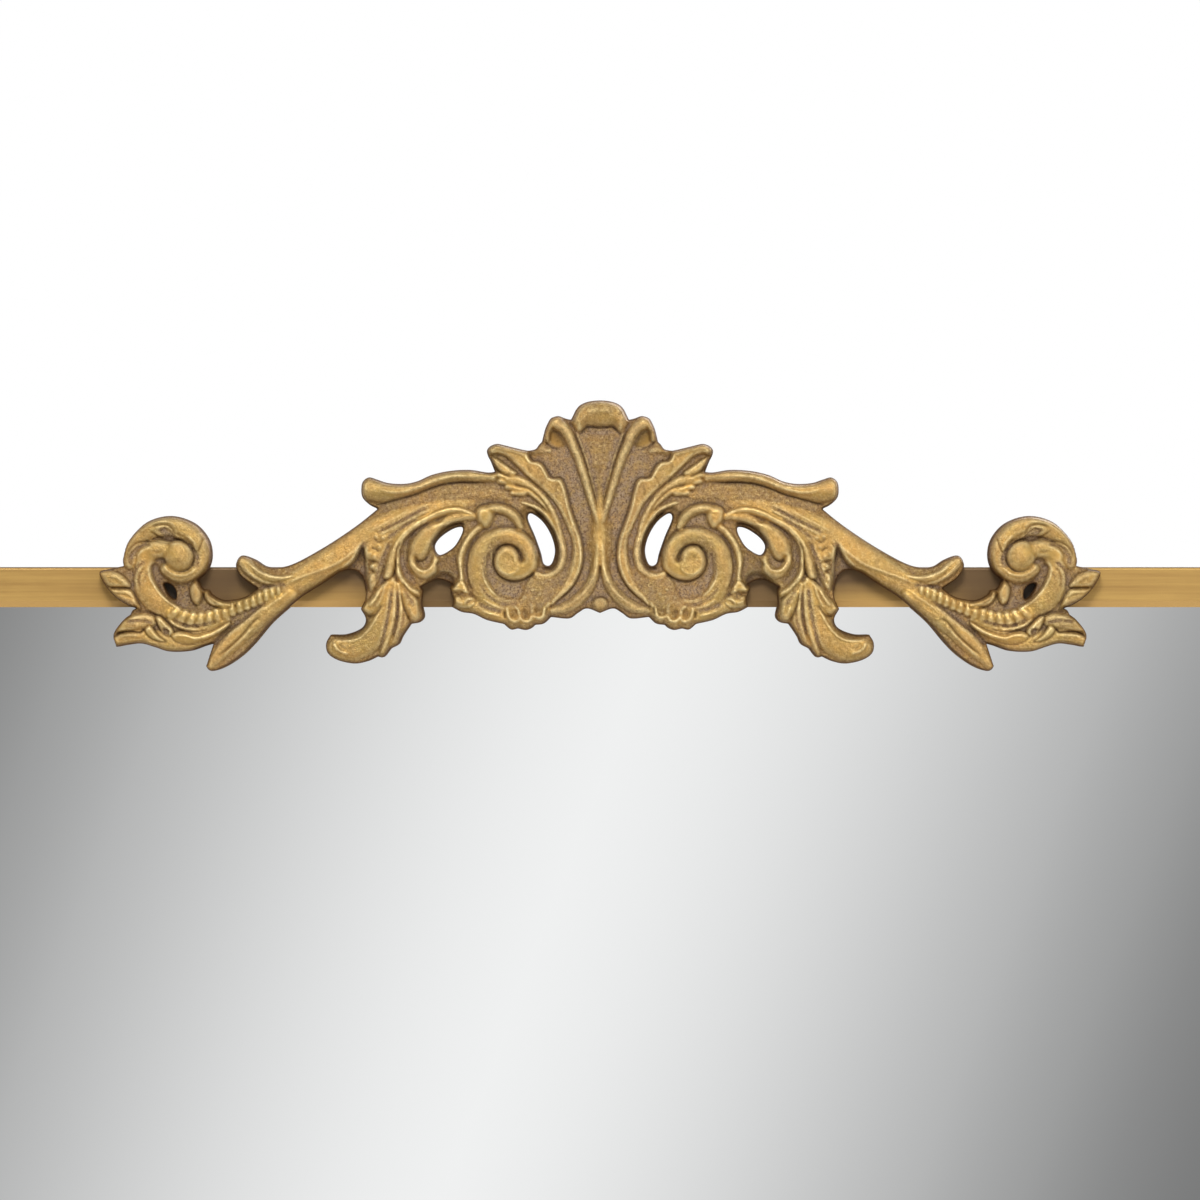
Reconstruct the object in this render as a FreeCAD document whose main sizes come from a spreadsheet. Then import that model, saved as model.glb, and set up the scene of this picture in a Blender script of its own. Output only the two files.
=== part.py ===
"""Wall mirror in a slim gilt frame with a cast scroll crest, ring hangers and turn buttons.

The wall is the plane y = 0 and the mirror faces -Y. The origin lies midway between the two
hanging rings, at the height where the hooks bear. All lengths are millimetres.
"""
import FreeCAD, Part
import math
import os
import Sketcher

Vector = FreeCAD.Vector
Rotation = FreeCAD.Rotation

# Driving dimensions of the mirror
SIZES = {
    # Frame moulding
    "frame_width": 610,
    "frame_height": 914,
    "rail_face": 19,
    "lip_depth": 6,
    "rabbet_width": 6,
    "edge_round": 1.2,
    "bevel_width": 3,
    "bevel_drop": 0.8,
    "hang_drop": 150,
    # Glass, tape and backing board in the rabbet
    "glass_thickness": 4,
    "glass_play": 1,
    "tape_thickness": 1,
    "tape_width": 20,
    "tape_end_margin": 40,
    "board_thickness": 5,
    # V-nails in the mitres
    "nail_leg": 4,
    "nail_thickness": 0.8,
    "nail_depth": 9,
    # Crest casting and its screws
    "crest_width": 475,
    "crest_slab": 8,
    "crest_relief": 22,
    "crest_root": 4,
    "crest_screw_bite": 6,
    "crest_screw_shank": 3.5,
    "crest_screw_head": 7,
    "crest_screw_head_height": 2.4,
    "crest_screw_sink": 0.4,
    # Strap hangers and their rings
    "hanger_inset": 8,
    "strap_width": 6.5,
    "strap_thickness": 0.9,
    "strap_length": 28,
    "strap_corner": 2,
    "strap_screw_first": 9,
    "strap_screw_pitch": 12,
    "ring_wire": 2.5,
    "ring_span": 11.5,
    "ring_rise": 12,
    "ring_corner": 2,
    "ring_gap": 0.3,
    "hanger_screw_shank": 2.6,
    "hanger_screw_head": 5.2,
    "hanger_screw_head_height": 1.7,
    "hanger_screw_length": 12,
    # Turn buttons and their screws
    "button_length": 28,
    "button_width": 10,
    "button_thickness": 1.5,
    "button_gap": 0.2,
    "button_screw_shank": 3,
    "button_screw_head": 6.4,
    "button_screw_head_height": 1.9,
    "button_screw_length": 13,
    # Cross recess in every screw head
    "recess_width": 0.8,
    "recess_depth": 1,
    # Wall bumpers
    "bumper_thickness": 5,
    "bumper_diameter": 10,
    "bumper_tip_diameter": 8,
    "bumper_inset": 25,
    # Fits
    "hinge_play": 0.1,
    "screw_play": 0.3,
    "pilot_play": 0.05,
    "pilot_overrun": 1,
    "cut_overrun": 2,
}

# Places of repeated pieces, as shares of the frame's width, the frame's height, the glass's width
# and the full length of a mitre
RAIL_BUTTON_SHARES = (-0.2, 0.2)
STILE_BUTTON_SHARES = (0.4, 0.8)
TAPE_SHARES = (-0.35, 0, 0.35)
NAIL_SHARES = (0.18, 0.42)

# Shares of a screw: where its head starts to round off and how wide its flat top is
HEAD_SHOULDER_SHARE = 0.5
HEAD_TOP_SHARE = 0.6
RECESS_REACH_SHARE = 0.6

# The crest is drawn on the pixels of the front view: its width, the rail's top edge and the screws
CREST_WIDTH_PX = 1000
RAIL_TOP_PX = 568
CREST_SCREWS_PX = (144, 540, 660, 1056)

# Left half of the crest's outline, from the top of the palmette round to the foot of the palmette.
# Each row is one smooth stretch, and rows meet in corners.
CREST_OUTLINE_PX = (
    # Cap, side rib and side leaf of the palmette
    ((600, 400.5), (586, 402.5), (577, 409), (571, 420)),
    ((571, 420), (565, 418.5), (556, 416.5), (549, 421), (545, 430), (542, 442)),
    ((542, 442), (535, 449.5), (526, 450.5), (513, 447.5), (498, 444), (489, 447.5), (488, 456),
     (495, 472)),
    # Curled lip, stem and bud
    ((495, 472), (480, 471), (460, 470), (440, 472.5), (417, 481), (395, 484), (377, 479.5), (368, 478),
     (362, 485), (363, 498), (370, 505), (378, 509)),
    ((378, 509), (350, 530.5), (320, 550), (298, 562), (275, 567.5), (260, 562), (245, 555.5), (238, 560),
     (239, 572), (248, 583), (258, 588.5)),
    # Beaded spine and end scroll
    ((258, 588.5), (245, 597), (228, 600), (214, 595), (205, 588.5), (199, 580)),
    ((199, 580), (209, 570), (213, 555), (209, 538), (195, 523), (172, 516), (148, 522), (130, 540),
     (124, 566)),
    # Small leaf, low leaf and spear
    ((124, 566), (110, 569), (101, 573), (106, 586), (120, 601), (137, 608)),
    ((137, 608), (122, 621), (114, 636), (117, 647)),
    ((117, 647), (134, 643.5), (150, 645.5), (168, 651), (190, 651), (214, 643.5)),
    ((214, 643.5), (208, 661), (212, 671), (235, 661), (256, 642), (278, 617), (303, 596)),
    # Underside of the stem and the leaf drop
    ((303, 596), (322, 584), (342, 571), (356, 571.5), (367, 577)),
    ((367, 577), (371, 590), (361, 609)),
    ((361, 609), (366, 621), (352, 633), (331, 634.5)),
    ((331, 634.5), (326.5, 645), (336, 659), (354, 663.5), (380, 656)),
    ((380, 656), (391, 648.5), (403, 636), (415, 622), (424.5, 616), (423, 600), (421.5, 587)),
    # Web, skirt of the volute and foot of the palmette
    ((421.5, 587), (438.5, 577.5), (452, 584)),
    ((452, 584), (453, 598), (453, 608)),
    ((453, 608), (474, 614), (504, 624), (514, 630), (528, 630), (545, 622), (551, 617)),
    ((551, 617), (569, 618.5), (587, 608.5), (600, 613)),
)

# The outline starts on the crest's middle line
CREST_MIDDLE_PX = CREST_OUTLINE_PX[0][0][0]

# Openings through the left half: above the leaf drop, beside the palmette and in the end scroll
CREST_HOLES_PX = (
    ((462, 528), (457, 543), (440, 555), (435, 546), (446, 533)),
    ((531, 513.5), (531, 528), (541, 553), (547, 566), (555, 551), (547, 528)),
    ((166, 584), (175, 588), (176, 599), (167, 590)),
)

# Raised forms of the left half: points along each form's ridge and its half width there
CREST_FORMS_PX = {
    "lip": ((371, 490, 9), (385, 492, 8), (400, 491.5, 7.5), (425, 486, 7), (450, 478, 6.5),
            (472, 476.5, 6), (492, 477.5, 4)),
    "stem": ((478, 497, 10), (455, 500, 14), (425, 509, 17), (395, 520, 18), (365, 539, 17), (335, 557, 15),
             (308, 573, 14), (285, 586, 12), (264, 592, 7)),
    "leaf_drop": ((465, 513, 4), (440, 513, 7), (420, 523, 8), (405, 537, 9), (397, 554, 12),
                  (395, 575, 20), (393, 600, 25), (386, 624, 21), (373, 641, 15), (354, 649, 11),
                  (337, 647, 7)),
    "comma_curl": ((441, 525, 4), (428, 536, 7), (420, 549, 8.5), (419, 562, 8.5), (425, 572, 6)),
    "volute": ((487, 600, 8), (476, 582, 10), (475, 562, 11), (483, 545, 11), (496, 536, 10),
               (511, 535, 9.5), (523, 542, 9), (530, 554, 8.5), (528, 566, 7.5), (518, 574, 6),
               (508, 572, 5)),
    "volute_eye": ((497, 560, 5), (502, 560, 10), (508, 560, 12), (514, 560, 10), (519, 560, 5)),
    "skirt": ((478, 527, 4), (463, 548, 5), (460, 565, 5), (461, 585, 6.5), (468, 600, 8), (486, 608, 9),
              (506, 614, 9), (526, 618, 9), (543, 613, 7)),
    "hood": ((479, 520, 6), (484, 512, 7), (498, 509, 6), (512, 513, 6), (522, 524, 5)),
    "side_leaf": ((495, 452, 6), (510, 459, 12), (524, 468, 14), (540, 480, 13), (552, 496, 11),
                  (561, 516, 9), (567, 540, 7), (569, 562, 6)),
    "scroll_band": ((572, 550, 8), (572, 570, 9), (566, 588, 10), (556, 604, 9)),
    "side_rib": ((556, 424, 8), (565, 435, 10), (574, 454, 9), (583, 477, 8), (591, 500, 7), (597, 522, 6)),
    "leg": ((597, 556, 6), (594, 574, 7), (586, 592, 8), (574, 604, 8), (560, 611, 5)),
    "bud": ((242, 561, 4), (253, 570, 8), (270, 577, 9), (290, 576, 8)),
    "spine": ((172, 609, 6), (190, 615, 7), (206, 616, 7), (222, 612, 7), (240, 605, 7), (260, 597, 7),
              (282, 588, 6)),
    "spear": ((211, 667, 3), (222, 655, 8), (240, 637, 10), (258, 620, 10), (276, 607, 9), (295, 596, 7)),
    "end_scroll": ((176, 606, 11), (157, 599, 13), (143, 582, 14), (139, 562, 13), (146, 543, 12),
                   (163, 530, 12), (182, 531, 11.5), (196, 543, 11), (199, 558, 10), (191, 569, 8),
                   (181, 570, 6)),
    "end_boss": ((172, 556, 5), (176, 556, 10), (181, 556, 12), (186, 556, 10), (190, 556, 5)),
    "small_leaf": ((104, 574, 3), (115, 583, 7), (128, 594, 9), (142, 602, 8)),
    "low_leaf": ((118, 641, 4), (132, 632, 9), (150, 630, 13), (172, 634, 14), (195, 634, 12),
                 (214, 629, 9)),
}

# Height of each form at those points, as shares of the crest's full relief
CREST_HEIGHT_SHARES = {
    "lip": (0.62, 0.68, 0.70, 0.70, 0.68, 0.62, 0.55),
    "stem": (0.50, 0.55, 0.60, 0.62, 0.62, 0.60, 0.58, 0.55, 0.50),
    "leaf_drop": (0.55, 0.60, 0.65, 0.70, 0.70, 0.70, 0.72, 0.70, 0.66, 0.60, 0.50),
    "comma_curl": (0.50, 0.58, 0.62, 0.62, 0.55),
    "volute": (0.62, 0.70, 0.76, 0.80, 0.82, 0.82, 0.80, 0.78, 0.75, 0.72, 0.70),
    "volute_eye": (0.70, 0.82, 0.86, 0.82, 0.70),
    "skirt": (0.50, 0.55, 0.56, 0.56, 0.55, 0.55, 0.55, 0.52, 0.48),
    "hood": (0.60, 0.66, 0.66, 0.64, 0.58),
    "side_leaf": (0.55, 0.62, 0.66, 0.68, 0.68, 0.66, 0.62, 0.55),
    "scroll_band": (0.60, 0.62, 0.62, 0.55),
    "side_rib": (0.80, 0.86, 0.84, 0.80, 0.78, 0.76),
    "leg": (0.72, 0.68, 0.64, 0.60, 0.52),
    "bud": (0.45, 0.52, 0.55, 0.52),
    "spine": (0.50, 0.54, 0.56, 0.56, 0.56, 0.56, 0.54),
    "spear": (0.42, 0.45, 0.50, 0.54, 0.54, 0.52),
    "end_scroll": (0.50, 0.58, 0.66, 0.72, 0.76, 0.78, 0.80, 0.80, 0.80, 0.76, 0.72),
    "end_boss": (0.66, 0.78, 0.82, 0.78, 0.66),
    "small_leaf": (0.42, 0.45, 0.47, 0.48),
    "low_leaf": (0.42, 0.46, 0.52, 0.54, 0.54, 0.50),
}

# Forms on the crest's middle line: the rolled cap of the palmette and its trunk
MIDDLE_FORMS_PX = {
    "cap": ((575, 414, 5), (585, 414, 11), (600, 414, 13), (615, 414, 11), (625, 414, 5)),
    "trunk": ((600, 432, 8), (600, 470, 9), (600, 510, 9), (600, 535, 10), (600, 562, 9), (600, 604, 7)),
}
MIDDLE_HEIGHT_SHARES = {
    "cap": (0.80, 0.96, 1.00, 0.96, 0.80),
    "trunk": (0.62, 0.64, 0.72, 0.78, 0.72, 0.48),
}

# A form's side wall ends and its round top starts this share of its half width below the ridge
CROWN_SHARE = 0.8

# Heights and depths that several pieces share, as expressions of the sheet
FRAME_DEPTH = "(Sizes.lip_depth + Sizes.glass_thickness + Sizes.tape_thickness + Sizes.board_thickness)"
FRAME_BACK = "-Sizes.bumper_thickness"
FRAME_FRONT = f"(-Sizes.bumper_thickness - {FRAME_DEPTH})"
FRAME_TOP = "Sizes.hang_drop"
FRAME_BOTTOM = "(Sizes.hang_drop - Sizes.frame_height)"
FRAME_MIDDLE = "(Sizes.hang_drop - Sizes.frame_height / 2)"
BACK_WIDTH = "(Sizes.rail_face - Sizes.rabbet_width)"
GLASS_WIDTH = f"(Sizes.frame_width - 2 * {BACK_WIDTH} - 2 * Sizes.glass_play)"
GLASS_HEIGHT = f"(Sizes.frame_height - 2 * {BACK_WIDTH} - 2 * Sizes.glass_play)"
GLASS_FRONT = f"({FRAME_FRONT} + Sizes.lip_depth)"
TAPE_FRONT = f"({GLASS_FRONT} + Sizes.glass_thickness)"
BOARD_FRONT = f"({TAPE_FRONT} + Sizes.tape_thickness)"
GLASS_FOOT = f"({FRAME_BOTTOM} + {BACK_WIDTH})"
LOOP_RADIUS = "(Sizes.ring_wire / 2 + Sizes.hinge_play + Sizes.strap_thickness)"
HINGE_DEPTH = f"({FRAME_BACK} + {LOOP_RADIUS})"
HINGE_HEIGHT = "(Sizes.ring_wire / 2 - Sizes.ring_rise)"
HANGER_REACH = "(Sizes.frame_width / 2 - Sizes.hanger_inset)"
STRAP_STACK = "(2 * Sizes.strap_thickness)"
BUTTON_TOP = f"({FRAME_BACK} + 2 * Sizes.button_gap + Sizes.button_thickness)"
CREST_SCREW_COUNTERBORE = "(Sizes.crest_screw_head_height + Sizes.crest_screw_sink)"
CREST_SCREW_LENGTH = f"({FRAME_DEPTH} - {CREST_SCREW_COUNTERBORE} + Sizes.crest_screw_bite)"

doc = FreeCAD.newDocument("WallMirror")
sheet = doc.addObject("Spreadsheet::Sheet", "Sizes")
for row, (alias, number) in enumerate(SIZES.items(), 1):
    sheet.set(f"A{row}", alias)
    sheet.set(f"B{row}", str(number))
    sheet.setAlias(f"B{row}", alias)
doc.recompute()

nodes = []


def value(expression):
    """Number that an expression of the sheet gives."""
    return float(sheet.evalExpression(expression))


def node(item, label):
    """Give a finished piece its name and keep it for the export."""
    item.Label = label
    nodes.append(item)
    return item


def place(item, base, rotation=Rotation()):
    """Set an object's turn, and bind its position to the sheet."""
    item.Placement = FreeCAD.Placement(Vector(*(value(part) for part in base)), rotation)
    for axis, expression in zip("xyz", base):
        item.setExpression(f"Placement.Base.{axis}", expression)


def new_sketch(body, name, role, lift=None):
    """Sketch on one of the body's own origin planes, lifted off it where an expression says so."""
    sketch = body.newObject("Sketcher::SketchObject", f"{body.Name}_{name}")
    plane = [feature for feature in body.Origin.OriginFeatures if feature.Role == role][0]
    sketch.AttachmentSupport = [(plane, "")]
    sketch.MapMode = "FlatFace"
    if lift:
        sketch.AttachmentOffset = FreeCAD.Placement(Vector(0, 0, value(lift)), Rotation())
        sketch.setExpression("AttachmentOffset.Base.z", lift)
    return sketch


def bind(sketch, kind, expression, *where):
    """Add a dimension to the sketch and bind it to the sheet."""
    number = sketch.addConstraint(Sketcher.Constraint(kind, *where, value(expression)))
    sketch.setExpression(f"Constraints[{number}]", expression)


def draw_outline(sketch, corners):
    """Closed outline through corners of two expressions each, taken anticlockwise.

    A corner with three more expressions starts an arc: a point half way along it and its radius.
    """
    first = sketch.GeometryCount
    points = [Vector(value(corner[0]), value(corner[1]), 0) for corner in corners]
    count = len(corners)
    for step, corner in enumerate(corners):
        start = points[step]
        end = points[(step + 1) % count]
        if len(corner) > 2:
            middle = Vector(value(corner[2]), value(corner[3]), 0)
            sketch.addGeometry(Part.Arc(start, middle, end))
        else:
            sketch.addGeometry(Part.LineSegment(start, end))
    for step, corner in enumerate(corners):
        here = first + step
        after = first + (step + 1) % count
        sketch.addConstraint(Sketcher.Constraint("Coincident", here, 2, after, 1))
        bind(sketch, "DistanceX", corner[0], -1, 1, here, 1)
        bind(sketch, "DistanceY", corner[1], -1, 1, here, 1)
        if len(corner) > 2:
            bind(sketch, "Radius", corner[4], here)


def draw_circle(sketch, across, up, radius):
    """Circle whose centre and radius are expressions of the sheet."""
    centre = Vector(value(across), value(up), 0)
    number = sketch.addGeometry(Part.Circle(centre, Vector(0, 0, 1), value(radius)))
    bind(sketch, "DistanceX", across, -1, 1, number, 3)
    bind(sketch, "DistanceY", up, -1, 1, number, 3)
    bind(sketch, "Radius", radius, number)


def pad(body, sketch, length, symmetric=False, reverse=False):
    """Extrude a sketch."""
    feature = body.newObject("PartDesign::Pad", f"{sketch.Name}_pad")
    feature.Profile = sketch
    feature.SideType = "Symmetric" if symmetric else "One side"
    feature.Reversed = reverse
    feature.setExpression("Length", length)
    doc.recompute()
    return feature


def pocket(body, sketch, length=None, reverse=False):
    """Cut a sketch out of the body to a depth, or right through it both ways."""
    before = body.Shape.Volume
    feature = body.newObject("PartDesign::Pocket", f"{sketch.Name}_pocket")
    feature.Profile = sketch
    feature.Reversed = reverse
    if length:
        feature.setExpression("Length", length)
    else:
        feature.Type = "ThroughAll"
        feature.SideType = "Symmetric"
    doc.recompute()
    if body.Shape.Volume >= before:
        raise RuntimeError(f"{feature.Name} cut nothing")
    return feature


def round_edges(body, feature, radius, wanted):
    """Fillet the edges of a feature whose two ends both satisfy the test."""
    names = [
        f"Edge{number}"
        for number, edge in enumerate(feature.Shape.Edges, 1)
        if all(wanted(vertex.Point) for vertex in edge.Vertexes)
    ]
    fillet = body.newObject("PartDesign::Fillet", f"{feature.Name}_fillet")
    fillet.Base = (feature, names)
    fillet.setExpression("Radius", radius)
    doc.recompute()
    return fillet


def near(first, second):
    """True where two lengths agree to well under the finest size of the mirror."""
    return math.isclose(first, second, abs_tol=value("Sizes.pilot_play") / 10)


def drill(body, name, places, radius, depth=None):
    """Round holes from the body's own XZ plane towards its front, to a depth or right through."""
    sketch = new_sketch(body, name, "XZ_Plane")
    for across, up in places:
        draw_circle(sketch, across, up, radius)
    return pocket(body, sketch, depth, reverse=True)


def moulding(label, length, base, turn):
    """Mitred rail or stile: it runs along its own X, with its outer edge up and its back at y = 0."""
    body = doc.addObject("PartDesign::Body", label)
    profile = new_sketch(body, "profile", "YZ_Plane")
    draw_outline(profile, (
        (f"-{FRAME_DEPTH}", "0"),
        (f"-{FRAME_DEPTH}", "Sizes.bevel_width - Sizes.rail_face"),
        (f"Sizes.bevel_drop - {FRAME_DEPTH}", "-Sizes.rail_face"),
        (f"Sizes.lip_depth - {FRAME_DEPTH}", "-Sizes.rail_face"),
        (f"Sizes.lip_depth - {FRAME_DEPTH}", f"-{BACK_WIDTH}"),
        ("0", f"-{BACK_WIDTH}"),
        ("0", "0"),
    ))
    bar = pad(body, profile, length, symmetric=True)
    front = -value(FRAME_DEPTH)
    round_edges(body, bar, "Sizes.edge_round", lambda point: near(point.y, front) and near(point.z, 0))
    mitres = new_sketch(body, "mitres", "XZ_Plane")
    outer = f"({length} / 2 + Sizes.cut_overrun)"
    inner = f"({length} / 2 - Sizes.rail_face - Sizes.cut_overrun)"
    foot = "-(Sizes.rail_face + Sizes.cut_overrun)"
    draw_outline(mitres, ((outer, "Sizes.cut_overrun"), (inner, foot), (outer, foot)))
    draw_outline(mitres, ((f"-{outer}", "Sizes.cut_overrun"), (f"-{outer}", foot), (f"-{inner}", foot)))
    pocket(body, mitres)
    place(body, base, Rotation(Vector(0, 1, 0), turn))
    return node(body, label)


def make_frame():
    """Four mouldings with the holes for the crest, the hangers and the turn buttons."""
    top = moulding("top_rail", "Sizes.frame_width", ("0", FRAME_BACK, FRAME_TOP), 0)
    bottom = moulding("bottom_rail", "Sizes.frame_width", ("0", FRAME_BACK, FRAME_BOTTOM), 180)
    left = moulding("left_stile", "Sizes.frame_height",
                    ("-Sizes.frame_width / 2", FRAME_BACK, FRAME_MIDDLE), -90)
    right = moulding("right_stile", "Sizes.frame_height",
                     ("Sizes.frame_width / 2", FRAME_BACK, FRAME_MIDDLE), 90)
    centre_line = f"-{BACK_WIDTH} / 2"
    pilot = "(Sizes.button_screw_shank / 2 + Sizes.pilot_play)"
    stack = "(2 * Sizes.button_gap + Sizes.button_thickness)"
    bite = f"(Sizes.button_screw_length - {stack} + Sizes.pilot_overrun)"
    on_rail = [(f"{share} * Sizes.frame_width", centre_line) for share in RAIL_BUTTON_SHARES]
    for rail in (top, bottom):
        drill(rail, "button_pilots", on_rail, pilot, bite)
    strap_pilot = "(Sizes.hanger_screw_shank / 2 + Sizes.pilot_play)"
    strap_bite = f"(Sizes.hanger_screw_length - {STRAP_STACK} + Sizes.pilot_overrun)"
    for stile, sign in ((left, 1), (right, -1)):
        on_stile = [(f"{sign} * (0.5 - {share}) * Sizes.frame_height", centre_line)
                    for share in STILE_BUTTON_SHARES]
        drill(stile, "button_pilots", on_stile, pilot, bite)
        on_strap = [(f"{sign} * ({up} - {FRAME_MIDDLE})", "-Sizes.hanger_inset")
                    for up in strap_screw_heights()]
        drill(stile, "strap_pilots", on_strap, strap_pilot, strap_bite)
    on_crest = [(across, centre_line) for across in crest_screw_places()]
    drill(top, "crest_holes", on_crest, "(Sizes.crest_screw_shank / 2 + Sizes.screw_play)")
    drill(top, "crest_counterbores", on_crest, "(Sizes.crest_screw_head / 2 + Sizes.screw_play)",
          CREST_SCREW_COUNTERBORE)


def strap_screw_heights():
    """Heights of a strap's two screws."""
    first = f"({HINGE_HEIGHT} - Sizes.strap_screw_first)"
    return first, f"({first} - Sizes.strap_screw_pitch)"


def crest_screw_places():
    """Distances of the crest's screws from the middle."""
    return [f"({pixel - CREST_MIDDLE_PX} * Sizes.crest_width / {CREST_WIDTH_PX})"
            for pixel in CREST_SCREWS_PX]


def button_places():
    """Name, pivot and turn of each turn button: its arm points along its own X, over the board."""
    places = []
    for share, side in zip(RAIL_BUTTON_SHARES, ("left", "right")):
        across = f"{share} * Sizes.frame_width"
        places.append((f"top_{side}_turn_button", across, f"({FRAME_TOP} - {BACK_WIDTH} / 2)", 90))
        places.append((f"bottom_{side}_turn_button", across, f"({FRAME_BOTTOM} + {BACK_WIDTH} / 2)", -90))
    for share, level in zip(STILE_BUTTON_SHARES, ("upper", "lower")):
        up = f"({FRAME_TOP} - {share} * Sizes.frame_height)"
        reach = f"(Sizes.frame_width / 2 - {BACK_WIDTH} / 2)"
        places.append((f"left_{level}_turn_button", f"-{reach}", up, 0))
        places.append((f"right_{level}_turn_button", reach, up, 180))
    return places


def box(label, size, corner):
    """Plain sheet or strip, bound to the sheet."""
    item = doc.addObject("Part::Box", label)
    for name, expression in zip(("Length", "Width", "Height"), size):
        item.setExpression(name, expression)
    place(item, corner)
    return item


def group(label, items):
    """Several separate solids under one name."""
    compound = doc.addObject("Part::Compound", label)
    compound.Links = items
    return node(compound, label)


def copies(label, pattern, places):
    """Linked copies of one piece, each with its own position and turn, under one name."""
    links = []
    for number, (base, rotation) in enumerate(places, 1):
        link = doc.addObject("App::Link", f"{label}_{number}")
        link.LinkedObject = pattern
        place(link, base, rotation)
        links.append(link)
    return group(label, links)


def make_glazing():
    """Glass, tape and backing board, standing on the bottom rail's rabbet."""
    glass = box("mirror_glass", (GLASS_WIDTH, "Sizes.glass_thickness", GLASS_HEIGHT),
                (f"-{GLASS_WIDTH} / 2", GLASS_FRONT, GLASS_FOOT))
    node(glass, "mirror_glass")
    strips = []
    for number, share in enumerate(TAPE_SHARES, 1):
        strips.append(box(
            f"tape_strip_{number}",
            ("Sizes.tape_width", "Sizes.tape_thickness", f"{GLASS_HEIGHT} - 2 * Sizes.tape_end_margin"),
            (f"{share} * {GLASS_WIDTH} - Sizes.tape_width / 2", TAPE_FRONT,
             f"{GLASS_FOOT} + Sizes.tape_end_margin"),
        ))
    group("glass_tape_strips", strips)
    board = box("backing_board", (GLASS_WIDTH, "Sizes.board_thickness", GLASS_HEIGHT),
                (f"-{GLASS_WIDTH} / 2", BOARD_FRONT, GLASS_FOOT))
    node(board, "backing_board")


def make_v_nails():
    """Two V-nails in the back of each mitre, open towards the glass."""
    body = doc.addObject("PartDesign::Body", "v_nail")
    outline = new_sketch(body, "outline", "XY_Plane")
    leg = "(Sizes.nail_leg * sqrt(0.5))"
    skew = "(Sizes.nail_thickness * sqrt(0.5))"
    draw_outline(outline, (
        ("0", "0"),
        (leg, f"-{leg}"),
        (f"{leg} + {skew}", f"{skew} - {leg}"),
        (f"2 * {skew}", "0"),
        (f"{leg} + {skew}", f"{leg} - {skew}"),
        (leg, leg),
    ))
    pad(body, outline, "Sizes.nail_depth", reverse=True)
    places = []
    for side in (-1, 1):
        for level, edge in ((-1, FRAME_BOTTOM), (1, FRAME_TOP)):
            inward = Vector(-side, 0, -level).normalize()
            out = Vector(0, 1, 0)
            turn = Rotation(inward, out.cross(inward), out, "XYZ")
            for share in NAIL_SHARES:
                along = f"{share} * Sizes.rail_face"
                base = (f"{side} * (Sizes.frame_width / 2 - {along})", FRAME_BACK,
                        f"{edge} - {level} * {along}")
                places.append((base, turn))
    copies("corner_v_nails", body, places)


def make_screw(name, shank, head, head_height, length):
    """Pan-head screw that stands head up, with the underside of its head at its own z = 0."""
    body = doc.addObject("PartDesign::Body", name)
    profile = new_sketch(body, "profile", "XZ_Plane")
    draw_outline(profile, (
        ("0", f"-{length}"),
        (f"{shank} / 2", f"{shank} / 2 - {length}"),
        (f"{shank} / 2", "0"),
        (f"{head} / 2", "0"),
        (f"{head} / 2", f"{HEAD_SHOULDER_SHARE} * {head_height}"),
        (f"{HEAD_TOP_SHARE} * {head} / 2", head_height),
        ("0", head_height),
    ))
    turned = body.newObject("PartDesign::Revolution", f"{name}_turned")
    turned.Profile = profile
    turned.ReferenceAxis = (profile, ["V_Axis"])
    turned.Angle = 360
    doc.recompute()
    cross = new_sketch(body, "cross", "XY_Plane", head_height)
    reach = f"({RECESS_REACH_SHARE} * {HEAD_TOP_SHARE} * {head} / 2)"
    arm = "(Sizes.recess_width / 2)"
    draw_outline(cross, (
        (reach, f"-{arm}"), (reach, arm), (arm, arm), (arm, reach), (f"-{arm}", reach), (f"-{arm}", arm),
        (f"-{reach}", arm), (f"-{reach}", f"-{arm}"), (f"-{arm}", f"-{arm}"), (f"-{arm}", f"-{reach}"),
        (arm, f"-{reach}"), (arm, f"-{arm}"),
    ))
    pocket(body, cross, "Sizes.recess_depth")
    return body


def make_screws():
    """Screws of the hangers, the turn buttons and the crest, all driven from the back."""
    head_out = Rotation(Vector(1, 0, 0), -90)
    hanger = make_screw("hanger_screw", "Sizes.hanger_screw_shank", "Sizes.hanger_screw_head",
                        "Sizes.hanger_screw_head_height", "Sizes.hanger_screw_length")
    copies("hanger_screws", hanger, [
        ((f"{side} * {HANGER_REACH}", f"{FRAME_BACK} + {STRAP_STACK}", up), head_out)
        for side in (-1, 1)
        for up in strap_screw_heights()
    ])
    button = make_screw("turn_button_screw", "Sizes.button_screw_shank", "Sizes.button_screw_head",
                        "Sizes.button_screw_head_height", "Sizes.button_screw_length")
    copies("turn_button_screws", button, [
        ((across, BUTTON_TOP, up), head_out) for label, across, up, turn in button_places()
    ])
    crest = make_screw("crest_screw", "Sizes.crest_screw_shank", "Sizes.crest_screw_head",
                       "Sizes.crest_screw_head_height", CREST_SCREW_LENGTH)
    copies("crest_screws", crest, [
        ((across, f"{FRAME_BACK} - {CREST_SCREW_COUNTERBORE}", f"{FRAME_TOP} - {BACK_WIDTH} / 2"), head_out)
        for across in crest_screw_places()
    ])


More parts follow.
